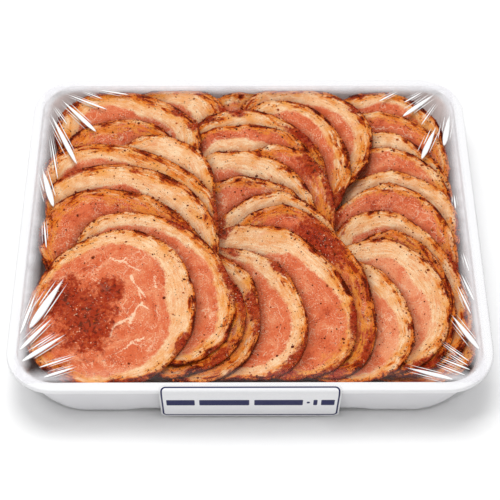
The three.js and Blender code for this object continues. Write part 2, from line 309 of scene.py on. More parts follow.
@dataclass
class Surface:
    """A mesh as arrays: points in millimetres, faces, and what each point carries."""

    points: Array
    faces: list[list[int]]
    carried: dict[str, Array] = field(default_factory=dict)
    plan: Array | None = None

    def piece(self, name: str, material: bpy.types.Material, slot: Slot, *nodes: str) -> bpy.types.Object:
        """Makes the mesh an object that rides on the pack's body.

        Args:
            name: the piece's name.
            material: its material.
            slot: the record's slot for its finish; not used.
            nodes: the CAD nodes that it stands for.

        Returns:
            The object.
        """
        mesh = bpy.data.meshes.new(name)
        mesh.from_pydata((self.points * MM).tolist(), [], self.faces)
        for key, numbers in self.carried.items():
            layer = mesh.attributes.new(key, "FLOAT", "POINT")
            layer.data.foreach_set("value", np.ascontiguousarray(numbers, np.float32))
        if self.plan is not None:
            corners = np.zeros(len(mesh.loops), np.int32)
            mesh.loops.foreach_get("vertex_index", corners)
            layer = mesh.uv_layers.new(name=PLAN_MAP)
            layer.uv.foreach_set("vector", self.plan[corners].astype(np.float32).ravel())
        mesh.polygons.foreach_set("use_smooth", np.ones(len(mesh.polygons), bool))
        mesh.materials.append(material)
        mesh.update()
        piece = bpy.data.objects.new(name, mesh)
        bpy.context.scene.collection.objects.link(piece)
        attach(piece, BODY)
        if nodes:
            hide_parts(*nodes)
        log.info("%s: %d points, %d faces", name, len(self.points), len(self.faces))
        return piece


def closed_loft(rings: Array, first: Array | None = None, last: Array | None = None) -> Surface:
    """Joins rings of points, each to the next, and closes both ends with a fan to one point.

    Args:
        rings: points by ring, station and axis, anticlockwise seen from outside the last end.
        first: the point that closes the first ring, or nothing for the ring's middle.
        last: the point that closes the last ring, or nothing for the ring's middle.

    Returns:
        The closed surface, with its points in that order.
    """
    count, around, _ = rings.shape
    first = rings[0].mean(axis=0) if first is None else first
    last = rings[-1].mean(axis=0) if last is None else last
    points = np.concatenate([first[None], rings.reshape(-1, 3), last[None]])
    here = np.arange(around)
    beyond = (here + 1) % around
    rows = 1 + around * np.arange(count - 1)[:, None]
    quads = np.stack([rows + here, rows + beyond, rows + beyond + around, rows + here + around], -1)
    end = 1 + around * (count - 1)
    start_fan = np.stack([np.zeros_like(here), 1 + beyond, 1 + here], -1)
    end_fan = np.stack([end + here, end + beyond, np.full_like(here, len(points) - 1)], -1)
    return Surface(points, [*quads.reshape(-1, 4).tolist(), *start_fan.tolist(), *end_fan.tolist()])


def joined(surfaces: list[Surface]) -> Surface:
    """Puts several surfaces into one mesh.

    Args:
        surfaces: the surfaces, which all carry the same and all have plans.

    Returns:
        The one surface, with what they carry and their plans.
    """
    starts = np.cumsum([0, *(len(surface.points) for surface in surfaces)]).tolist()
    faces = [[i + start for i in face] for start, s in zip(starts, surfaces) for face in s.faces]
    keys = surfaces[0].carried
    carried = {key: np.concatenate([surface.carried[key] for surface in surfaces]) for key in keys}
    plan = np.concatenate([surface.plan for surface in surfaces])
    return Surface(np.concatenate([surface.points for surface in surfaces]), faces, carried, plan)


def turned(x: Array, y: Array, degrees: float) -> tuple[Array, Array]:
    """Turns places about the origin.

    Args:
        x: places along X.
        y: places along Y.
        degrees: the turn, anticlockwise.

    Returns:
        The turned places.
    """
    turn = math.radians(degrees)
    return x * np.cos(turn) - y * np.sin(turn), x * np.sin(turn) + y * np.cos(turn)


def rounded(stations: Array, times: int) -> Array:
    """Rounds a profile: each pass cuts every corner at a quarter of the two sides that meet there.

    Args:
        stations: the profile's stations, one row each.
        times: how many passes.

    Returns:
        The finer profile, with the same two ends.
    """
    for _ in range(times):
        near = 0.75 * stations[:-1] + 0.25 * stations[1:]
        far = 0.25 * stations[:-1] + 0.75 * stations[1:]
        between = np.stack([near, far], 1).reshape(-1, stations.shape[1])
        stations = np.concatenate([stations[:1], between[1:-1], stations[-1:]])
    return stations


def smooth_step(value: Array, start: float, end: float) -> Array:
    """0 before start, 1 past end, and 3t^2 - 2t^3 between them."""
    share = np.clip((value - start) / (end - start), 0.0, 1.0)
    return share * share * (3.0 - 2.0 * share)


def ripples(x: Array, y: Array, length: float, seed: int) -> Array:
    """Soft unevenness: a sum of cosine waves, with turns, phases and lengths drawn from a seed.

    Args:
        x: places along X.
        y: places along Y.
        length: the waves' typical length.
        seed: the seed of the draw.

    Returns:
        The sum, scaled to lie mostly between -0.8 and 0.8.
    """
    draw = np.random.default_rng(seed)
    turns = draw.uniform(0, np.pi, RIPPLE_WAVES)
    phases = draw.uniform(0, 6.28, RIPPLE_WAVES)
    stretches = draw.uniform(0.7, 1.5, RIPPLE_WAVES)
    total = np.zeros(np.broadcast(x, y).shape)
    for turn, phase, stretch in zip(turns, phases, stretches):
        along = x * np.cos(turn) + y * np.sin(turn)
        total += np.cos(2 * np.pi * along / (length * stretch) + phase)
    return total / math.sqrt(RIPPLE_WAVES) / 2.0


# ---- the pack's plan -------------------------------------------------------------------------


@dataclass(frozen=True)
class Plan:
    """The tray's plan, a rounded rectangle, as rings of points at a given inset from the rim."""

    half_x: float
    half_y: float
    corner_steps: int = 18
    side_steps: int = 34

    def shares(self) -> tuple[Array, Array, Array]:
        """The ring's stations, anticlockwise from the right end of the first corner's arc.

        Returns:
            The quarter of each station, its arc angle in radians, and how far it is along a
            side's straight half, 1 at a corner and 0 in the middle, with the side's sign.
        """
        arc = np.arange(self.corner_steps + 1) / self.corner_steps
        run = 1 - 2 * np.arange(1, self.side_steps) / self.side_steps
        quarter = np.repeat(np.arange(4), len(arc) + len(run))
        angle = np.tile(np.concatenate([arc, np.ones_like(run)]), 4)
        side = np.tile(np.concatenate([np.ones_like(arc), run]), 4)
        return quarter, (quarter + angle) * np.pi / 2, side

    def ring(self, inset: Array, radius: Array) -> tuple[Array, Array, Array]:
        """Points of the rounded rectangle at each inset: an arc's point, or a point along a side.

        Args:
            inset: how far each ring lies inside the rim's outer edge.
            radius: each ring's corner radius.

        Returns:
            x and y, by ring and station, and the side share of each station.
        """
        quarter, angle, side = self.shares()
        straight_x = (self.half_x - inset - radius)[:, None]
        straight_y = (self.half_y - inset - radius)[:, None]
        sign_x = np.where((quarter == 0) | (quarter == 3), 1.0, -1.0)
        sign_y = np.where(quarter < 2, 1.0, -1.0)
        along_x = quarter % 2 == 0
        x = sign_x * straight_x * np.where(along_x, side, 1.0) + radius[:, None] * np.cos(angle)
        y = sign_y * straight_y * np.where(along_x, 1.0, side) + radius[:, None] * np.sin(angle)
        return x, y, np.abs(side)

    def kept_inside(self, x: Array, y: Array, inset: Array, radius: Array) -> tuple[Array, Array]:
        """Moves points that lie outside the plan at some inset straight back to its edge.

        Args:
            x: places along X.
            y: places along Y.
            inset: the inset at each point.
            radius: the corner radius at each point.

        Returns:
            The places kept inside.
        """
        over_x = np.abs(x) - (self.half_x - inset - radius)
        over_y = np.abs(y) - (self.half_y - inset - radius)
        corner = np.hypot(np.maximum(over_x, 0), np.maximum(over_y, 0))
        out = corner + np.minimum(np.maximum(over_x, over_y), 0) - radius
        push = np.maximum(out, 0)
        both = (over_x > 0) & (over_y > 0)
        safe = np.maximum(corner, TINY)
        push_x = np.where(both, over_x / safe, over_x > over_y) * push
        push_y = np.where(both, over_y / safe, over_y >= over_x) * push
        return x - np.sign(x) * push_x, y - np.sign(y) * push_y


TRAY_LOW, TRAY_HIGH = (Vector(corner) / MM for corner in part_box("tray"))
FILM_TOP_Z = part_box("film")[1].z / MM
PLAN = Plan(TRAY_HIGH.x, TRAY_HIGH.y)
RIM_Z = TRAY_HIGH.z
BASE_Z = TRAY_LOW.z
RIM_WIDTH = 6.5
RIM_CORNER = 30.0
LIP_DROP = 4.2
BASE_INSET = 11.0
BASE_CORNER = 36.0
FOAM_THICKNESS = 3.5
FOOT_DROP = 1.8
FLOOR_Z = BASE_Z + FOOT_DROP + FOAM_THICKNESS
GAP = 0.3


# ---- tray ------------------------------------------------------------------------------------


@dataclass(frozen=True)
class FoamFinish:
    """White expanded foam with a smooth skin: faint beads and a soft sheen.

    Painted shade makes its outer walls a little greyer below the rim, and painted light thrown back
    by the meat warms its inner ones. The mesh carries which side of the rim a point is on, and how
    far below the rim it lies (outer).
    """

    skin: Colour = (248, 248, 249)
    shaded: Colour = (240, 239, 242)
    # painted shade on the outer walls below the rim
    outside: Colour = (206, 205, 209)
    # painted light thrown back by the meat onto the inner walls below the rim
    inside: Colour = (252, 222, 212)
    beads_per_mm: float = 0.55
    relief: float = 0.05

    def material(self) -> bpy.types.Material:
        """Builds the material."""
        graph = Graph("white_foam")
        place = graph.place()
        cells = {"Vector": place, "Scale": self.beads_per_mm}
        beads = graph.value("ShaderNodeTexVoronoi", {}, cells, "Distance")
        clouds = graph.noise(place, 26.0, 3.0)
        colour = graph.blend((clouds + 0.5) * 0.7, self.skin, self.shaded)
        outer = graph.attribute("outer")
        # painted shade greys the outer walls below the rim
        colour = graph.blend(outer.step(0.5, 1.0) * 0.6, colour, self.outside)
        # painted light from the meat warms the inner walls below the rim
        colour = graph.blend(outer.step(0.5, 0.0) * 0.5, colour, self.inside)
        height = beads * 0.5 + graph.noise(place, 0.9, 2.0)
        return graph.finish("ShaderNodeBsdfPrincipled", {
            "Base Color": colour,
            "Roughness": 0.52 + clouds * 0.15,
            "Normal": graph.bump(height, self.relief),
            "Specular IOR Level": 0.35,
        })


@dataclass
class Tray:
    """The foam tray: a rolled rim with an outer lip, leaning walls, and four low corner feet.

    A foot drops between foot_start and foot_end, as shares of the way from a side's middle to its
    corner.
    """

    foot_start: float = 0.67
    foot_end: float = 0.77
    finish: FoamFinish = FoamFinish()

    def profile(self) -> Array:
        """Stations of the tray's skin, rounded: under the base, up the wall, round the rim, inside.

        Returns:
            Rows of inset, corner radius, height and how much of the foot's drop applies.
        """
        panel = BASE_Z + FOOT_DROP
        inner_corner = RIM_CORNER - RIM_WIDTH
        lip = RIM_Z - LIP_DROP
        floor_inset = BASE_INSET + FOAM_THICKNESS
        stations = [
            # the base's panel and the foot
            (70.0, 10.0, panel, 0.0),
            (34.0, 20.0, panel, 0.0),
            (30.0, 22.0, panel, 0.0),
            (26.5, 24.0, panel, 1.0),
            (24.0, 26.0, panel, 1.0),
            (14.5, BASE_CORNER, panel, 1.0),
            (12.0, BASE_CORNER, panel + 0.8, 1.0),
            # the outer wall and the lip
            (10.6, BASE_CORNER - 0.3, panel + 3.5, 1.0),
            (6.9, 33.5, 18.0, 0.25),
            (3.6, RIM_CORNER + 1.5, lip - 1.2, 0.0),
            (2.8, RIM_CORNER + 1.0, lip - 0.1, 0.0),
            (0.6, RIM_CORNER, lip, 0.0),
            (0.0, RIM_CORNER, lip + 0.9, 0.0),
            (0.0, RIM_CORNER, RIM_Z - 1.6, 0.0),
            (0.1, RIM_CORNER, RIM_Z - 0.2, 0.0),
            # the rim's flat top
            (1.5, RIM_CORNER - 1.4, RIM_Z, 0.0),
            (RIM_WIDTH - 1.9, inner_corner + 1.9, RIM_Z, 0.0),
            (RIM_WIDTH - 0.4, inner_corner + 0.4, RIM_Z - 0.1, 0.0),
            # the inner wall and the floor
            (RIM_WIDTH + 0.2, inner_corner, RIM_Z - 1.6, 0.0),
            (RIM_WIDTH + 1.2, inner_corner, RIM_Z - 4.0, 0.0),
            (floor_inset - 1.8, RIM_CORNER, FLOOR_Z + 5.0, 0.0),
            (floor_inset - 0.2, RIM_CORNER, FLOOR_Z + 0.8, 0.0),
            (floor_inset + 4.0, RIM_CORNER, FLOOR_Z, 0.0),
            (BASE_INSET + 60.0, 12.0, FLOOR_Z, 0.0),
        ]
        return rounded(np.array(stations), 2)

    def surface(self) -> Surface:
        """The profile lofted round the plan. The feet drop by a smooth step along each side."""
        profile = self.profile()
        x, y, side = PLAN.ring(profile[:, 0], profile[:, 1])
        drop = FOOT_DROP * profile[:, 3:] * smooth_step(side, self.foot_start, self.foot_end)
        z = np.broadcast_to(profile[:, 2:3], x.shape) - drop
        result = closed_loft(
            np.stack([x, y, z], -1),
            np.array([0, 0, BASE_Z + FOOT_DROP]),
            np.array([0, 0, FLOOR_Z]),
        )
        # how far below the rim, and on which side: painted shade outside, painted light from the meat
        # inside
        below = smooth_step(z, RIM_Z - 1.0, RIM_Z - 6.0)
        under_rim = np.arange(len(profile))[:, None] < np.argmax(profile[:, 2])
        outer = 0.5 + 0.5 * below * np.where(under_rim, 1.0, -1.0)
        result.carried["outer"] = np.concatenate([[1.0], outer.ravel(), [0.0]])
        return result

    def build(self) -> None:
        """Makes the tray."""
        self.surface().piece("foam_tray", self.finish.material(), Slot.FOAM, "tray")


# ---- heap of slices --------------------------------------------------------------------------


@dataclass
class Heap:
    """The net that the slices are draped on, from the top slice down."""

    spacing: float = 2.0
    edge_z: float = 36.0
    rise: float = 8.5
    slope: float = 0.5
    bend: float = 12.0
    thickness: float = 2.4
    clearance: float = 0.12
    valleys: tuple[tuple[float, float], ...] = ((-13.0, 3.5), (60.0, 3.0))
    valley_width: float = 9.0
    valley_y: tuple[float, float] = (-30.0, 70.0)
    valley_fade: float = 40.0
    margin: int = 2
    most_passes: int = 200
    settled: float = 1e-4

    def __post_init__(self) -> None:
        """Lays out the net, which reaches past the tray by a margin of some spacings."""
        self.columns = int(2 * PLAN.half_x / self.spacing) + 2 * self.margin + 1
        self.rows = int(2 * PLAN.half_y / self.spacing) + 2 * self.margin + 1
        along_x = (np.arange(self.columns) - (self.columns - 1) / 2) * self.spacing
        along_y = (np.arange(self.rows) - (self.rows - 1) / 2) * self.spacing
        self.x, self.y = np.meshgrid(along_x, along_y)

    def surface(self, x: Array, y: Array) -> Array:
        """Height of the heap: a cushion of 1 - share^2 both ways, less a dip between columns.

        Args:
            x: places along X.
            y: places along Y.

        Returns:
            Heights.
        """
        across_x = np.clip(np.abs(x) / (PLAN.half_x - RIM_WIDTH), 0, 1)
        across_y = np.clip(np.abs(y) / (PLAN.half_y - RIM_WIDTH), 0, 1)
        height = self.edge_z + self.rise * (1 - across_x ** 2) * (1 - across_y ** 2)
        low, high = self.valley_y
        fade = self.valley_fade
        there = smooth_step(y, low - fade, low) * (1 - smooth_step(y, high, high + fade))
        for middle, depth in self.valleys:
            height = height - depth * there * np.exp(-((x - middle) / self.valley_width) ** 2)
        return height

    def sample(self, heights: Array, x: Array, y: Array) -> Array:
        """Reads a field on the net between its points, linearly both ways.

        Args:
            heights: the field, by row and column.
            x: places along X.
            y: places along Y.

        Returns:
            The field at those places.
        """
        last = 1.001
        u = np.clip(x / self.spacing + (self.columns - 1) / 2, 0, self.columns - last)
        v = np.clip(y / self.spacing + (self.rows - 1) / 2, 0, self.rows - last)
        i = u.astype(int)
        j = v.astype(int)
        u = u - i
        v = v - j
        low = heights[j, i] * (1 - u) + heights[j, i + 1] * u
        high = heights[j + 1, i] * (1 - u) + heights[j + 1, i + 1] * u
        return low * (1 - v) + high * v

    @staticmethod
    def lowered(heights: Array, down: int, right: int, rise: float) -> Array:
        """The smaller of a field and the same field moved over the net and raised.

        Args:
            heights: the field, by row and column.
            down: how many rows it is moved.
            right: how many columns it is moved.
            rise: how far it is raised.

        Returns:
            The lower field.
        """
        rows, columns = heights.shape
        moved = heights.copy()
        here, there = (
            (
                slice(max(way * down, 0), rows + min(way * down, 0)),
                slice(max(way * right, 0), columns + min(way * right, 0)),
            )
            for way in (1, -1)
        )
        moved[here] = np.minimum(moved[here], heights[there] + rise)
        return moved

    def draped(self, ceiling: Array) -> Array:
        """The highest sheet under a ceiling that is nowhere steeper than the slope.

        The ceiling is lowered from neighbour to neighbour at the slope until nothing changes, and
        then under a parabola of the bend radius along each axis, which rounds its creases.

        Args:
            ceiling: the most that the sheet may reach at each point of the net.

        Returns:
            The sheet's height.
        """
        steps = [(1, 0), (0, 1), (1, 1), (1, -1), (2, 1), (1, 2), (2, -1), (1, -2)]
        steps = steps + [(-down, -right) for down, right in steps]
        sheet = ceiling
        for _ in range(self.most_passes):
            before = sheet
            for down, right in steps:
                rise = self.slope * self.spacing * math.hypot(down, right)
                sheet = self.lowered(sheet, down, right, rise)
            if np.allclose(before, sheet, atol=self.settled):
                break
        reach = int(self.slope * self.bend / self.spacing) + 1
        for down, right in ((1, 0), (0, 1)):
            flat = sheet
            for k in [*range(-reach, 0), *range(1, reach + 1)]:
                rise = (k * self.spacing) ** 2 / (2 * self.bend)
                sheet = np.minimum(sheet, self.lowered(flat, k * down, k * right, rise))
        return sheet


@dataclass(frozen=True)
class Patch:
    """A charred or browned oval place: its middle in the tray's frame, its half sizes and turn."""

    x: float
    y: float
    along: float
    across: float
    turn: float = 0.0

    def depth(self, x: Array, y: Array) -> Array:
        """1 in the patch's middle, 0 at its edge and less outside."""
        along, across = turned(x - self.x, y - self.y, -self.turn)
        return 1 - np.hypot(along / self.along, across / self.across)


BROWNED = (
    # where the left column's edges lie on the middle one, front to back
    Patch(-5, -60, 50, 12, 115), Patch(-15, -5, 45, 9, 105), Patch(-45, -5, 16, 6, 145),
    Patch(-40, 8, 22, 6, 135), Patch(-38, 84, 10, 5, 0), Patch(-50, 98, 13, 6, 140),
    Patch(-12, 101, 22, 7, 150),
    # where the middle column's edges lie on the right one
    Patch(54, 25, 46, 9, 105), Patch(34, 77, 30, 7, 145), Patch(65, -74, 34, 8, 80),
    Patch(18, -40, 15, 5, 125),
    # along the front
    Patch(-18, -103, 22, 8, 60), Patch(-41, -96, 14, 5, 60), Patch(26, -108, 26, 9, 55),
    Patch(70, -97, 22, 5, 75), Patch(51, -114, 10, 7, 50), Patch(104, -108, 15, 8, 15),
    # along the sides and the back
    Patch(-104, 10, 18, 5, 50), Patch(-116, 44, 12, 8, 10), Patch(-110, 72, 12, 6, 40),
    Patch(127, -26, 16, 5, 110), Patch(74, 104, 14, 8, 25), Patch(96, 104, 9, 5, 165),
    Patch(-75, 41, 13, 4, 0),
)


FAT_WAVER = (0.1, 0.07)
SEAM_WAVER = 2.0
PHASE_STEP = 2.4
SLOW_WAVE = 0.018
SHORT_WAVE = 0.035
SHORT_WAVE_COUNTS = (5, 7, 11, 16, 23, 34)
BULGE_SHARPNESS = 3.0
VEIN_WAVER = 1.8
VEIN_WAVER_LENGTH = 9.0


@dataclass(frozen=True)
class Slice:
    """One oval slice.

    x, y, long, wide and turn are its place and size. fat is the fat ring's mean width, and more is
    how much wider it is on the side that fat_turn points to. seam is a second band of fat inside
    the lean, as its distance from the edge and its width. brown is how far the crust's colour
    reaches in, most of all on the side that brown_turn points to, and pale is how pale the lean is.
    bulge is a direction and how much further, as a share, the outline reaches that way.
    """

    x: float
    y: float
    long: float
    wide: float
    turn: float
    fat: float = 8.0
    more: float = 2.0
    fat_turn: float = 60.0
    brown: float = 0.4
    brown_turn: float = -30.0
    pale: float = 0.4
    seam: tuple[float, float] = (0.0, 0.0)
    bulge: tuple[float, float] = (0.0, 0.0)
    char: tuple[Patch, ...] = ()
    veins: tuple[tuple[tuple[float, float], ...], ...] = ()

    def wave(self, angle: Array, number: int) -> Array:
        """How the outline leaves its ellipse: two slow waves, short ones and the bulge.

        Args:
            angle: the ellipse's own angle, in radians.
            number: the slice's number, which sets the waves' phases.

        Returns:
            The share of the ellipse's reach at each angle, about 1.
        """
        phase = (number + 1) * PHASE_STEP
        slow = SLOW_WAVE * np.cos(2 * angle + phase) + SLOW_WAVE * np.cos(3 * angle + 1.7 * phase)
        short = sum(SHORT_WAVE / (k + 1) * np.cos(k * angle + phase * k) for k in SHORT_WAVE_COUNTS)
        towards, amount = self.bulge
        side = math.radians(towards - self.turn)
        return 1 + slow + short + amount * np.exp(BULGE_SHARPNESS * (np.cos(angle - side) - 1.0))

    def outline(self, angle: Array, number: int) -> tuple[Array, Array]:
        """The outline from the slice's middle, in the tray's frame: a turned, waved ellipse.

        Args:
            angle: the ellipse's own angle, in radians.
            number: the slice's number, which sets its waves.

        Returns:
            Offsets along X and Y.
        """
        wave = self.wave(angle, number)
        along = 0.5 * self.long * wave * np.cos(angle)
        across = 0.5 * self.wide * wave * np.sin(angle)
        return turned(along, across, self.turn)

    def share(self, x: Array, y: Array, number: int) -> Array:
        """How far out places are.

        Args:
            x: places along X.
            y: places along Y.
            number: the slice's number.

        Returns:
            0 in the slice's middle, 1 on its outline and more outside.
        """
        along, across = turned(x - self.x, y - self.y, -self.turn)
        along = along / (0.5 * self.long)
        across = across / (0.5 * self.wide)
        return np.hypot(along, across) / self.wave(np.arctan2(across, along), number)

    def lean_depth(self, x: Array, y: Array, inset: Array, number: int) -> Array:
        """How deep in the lean a point is: past the fat ring, and outside the seam of fat.

        Args:
            x: places along X.
            y: places along Y.
            inset: distance from the slice's edge.
            number: the slice's number.

        Returns:
            Millimetres inside the lean, less than 0 in fat.
        """
        way = np.arctan2(y - self.y, x - self.x)
        width = self.fat + self.more * np.cos(way - math.radians(self.fat_turn))
        broad, narrow = FAT_WAVER
        width = width * (1 + broad * np.cos(3 * way + number) + narrow * np.cos(5 * way + 2.0 * number))
        depth = inset - np.maximum(width, 1.0)
        at, thick = self.seam
        if thick > 0:
            bent = at + SEAM_WAVER * np.cos(2 * way + number)
            depth = np.minimum(depth, np.abs(inset - bent) - thick / 2)
        return depth

    def vein_distance(self, x: Array, y: Array) -> Array:
        """Distance from the nearest line of gristle, each a wavering chain of straight parts.

        Args:
            x: places along X.
            y: places along Y.

        Returns:
            The distance, at most FAR.
        """
        nearest = np.full(x.shape, FAR)
        waver_x = VEIN_WAVER * ripples(x, y, VEIN_WAVER_LENGTH, 3)
        waver_y = VEIN_WAVER * ripples(x, y, VEIN_WAVER_LENGTH, 4)
        x, y = x + waver_x, y + waver_y
        for line in self.veins:
            for (x0, y0), (x1, y1) in zip(line, line[1:]):
                length = (x1 - x0) ** 2 + (y1 - y0) ** 2
                along = np.clip(((x - x0) * (x1 - x0) + (y - y0) * (y1 - y0)) / length, 0, 1)
                gap = np.hypot(x - x0 - along * (x1 - x0), y - y0 - along * (y1 - y0))
                nearest = np.minimum(nearest, gap)
        return nearest


LEFT_COLUMN = (
    Slice(-83, -66, 116, 100, -84, fat=9.5, more=6.0, fat_turn=20, brown=0.65, brown_turn=205, pale=0.45,
          bulge=(225, 0.13),
          char=(Patch(-99, -77, 23, 32), Patch(-86, -56, 12, 14), Patch(-113, -60, 15, 22)),
          veins=(
              ((-87, -30), (-78, -35), (-69, -41)), ((-80, -35), (-78, -31)),
              ((-73, -46), (-68, -56), (-66, -66), (-70, -74), (-78, -80)),
              ((-67, -58), (-63, -61)), ((-67, -68), (-62, -70)), ((-71, -74), (-72, -81)),
              ((-80, -102), (-72, -96), (-64, -90)), ((-71, -96), (-66, -97)),
              ((-94, -50), (-87, -55), (-84, -62)), ((-88, -54), (-84, -52)),
              ((-58, -46), (-57, -54)), ((-78, -80), (-83, -84), (-84, -90)),
          )),
    Slice(-60, -50, 128, 88, -57, fat=8.5, more=2.0, fat_turn=40, brown=0.65, pale=0.45),
    Slice(-77, -25, 127, 89, -37, fat=3.0, more=2.0, fat_turn=60, brown=1.2, brown_turn=60, pale=0.2),
    Slice(-49, -67, 104, 87, -61, fat=5.0, brown=1.3, pale=0.2),
    Slice(-75, 0, 124, 87, -39, fat=16.0, more=5.0, fat_turn=70, brown=0.9, brown_turn=90),
    Slice(-36, -67, 108, 85, -72, fat=7.0, brown=0.7),
    Slice(-78, 19, 131, 84, -38, fat=13.0, brown=1.0, brown_turn=100, pale=0.4),
    Slice(-63, 23, 106, 83, -93, fat=17.0, more=6.0, fat_turn=70, brown=0.45),
    Slice(-86, 44, 100, 91, -81, fat=3.0, more=1.0, brown=1.3, brown_turn=130, pale=0.15),
    Slice(-81, 74, 104, 90, -47, fat=15.0, brown=1.3, brown_turn=110),
    Slice(-50, 78, 104, 86, -70, fat=18.0, brown=1.3, brown_turn=60),
)
MIDDLE_COLUMN = (
    Slice(-13, -67, 118, 85, -59, fat=9.0, more=2.5, fat_turn=0, brown=0.1, pale=0.4),
    Slice(9, -56, 132, 92, -51, fat=13.0, more=8.0, fat_turn=115, brown=0.45, pale=0.35,
          bulge=(-70, 0.07)),
    Slice(28, -47, 132, 82, -59, fat=1.5, more=0.5, brown=1.3, pale=0.0,
          bulge=(-82, 0.15), char=(Patch(45, -17, 27, 13, 130),)),
    Slice(15, -24, 102, 87, -60, fat=14.0, more=4.0, fat_turn=90, brown=0.2),
    Slice(1, -10, 103, 86, -68, fat=3.0, more=1.0, brown=0.6, pale=0.2),
    Slice(-7, 16, 106, 86, -29, fat=13.0, more=4.0, fat_turn=80, brown=0.5),
    Slice(15, 11, 108, 83, -92, fat=4.0, more=1.0, brown=1.1, pale=0.15,
          char=(Patch(43, 48, 15, 14),)),
    Slice(-3, 43, 102, 87, -9, fat=2.0, more=0.5, brown=0.6, pale=0.2, seam=(19.0, 9.0)),
    Slice(4, 53, 110, 83, -48, fat=11.0, more=3.0, brown=1.2),
    Slice(24, 59, 104, 86, -77, fat=9.0, brown=0.9),
    Slice(36, 79, 104, 87, -45, fat=12.0, brown=0.8),
    Slice(2, 74, 100, 90, -80, fat=6.0, brown=1.2),
)
RIGHT_COLUMN = (
    Slice(51, -69, 114, 85, -53, fat=10.0, more=5.0, fat_turn=70, brown=0.25, pale=0.8),
    Slice(74, -62, 110, 92, -58, fat=12.0, more=4.0, fat_turn=60, brown=0.15, pale=0.85),
    Slice(86, -60, 108, 82, -82, fat=1.5, more=0.5, brown=1.2, pale=0.0),
    Slice(90, -49, 128, 83, -67, fat=10.0, more=2.0, brown=0.45, pale=0.3),
    Slice(87, -64, 124, 92, -52, fat=6.0, brown=0.9, pale=0.2),
    Slice(88, -18, 103, 88, -70, fat=3.0, more=1.0, brown=0.6, pale=0.2),
    Slice(85, 2, 104, 86, -13, fat=14.0, more=4.0, fat_turn=90, brown=0.15),
    Slice(87, 19, 102, 89, -62, fat=4.0, more=1.0, brown=0.6, pale=0.35),
    Slice(86, 33, 101, 90, -50, fat=15.0, more=4.0, fat_turn=70, brown=0.2),
    Slice(80, 58, 110, 86, -19, fat=4.0, more=1.0, brown=0.7, pale=0.25),
    Slice(88, 70, 103, 88, -83, fat=8.0, brown=1.2, pale=0.2),
)


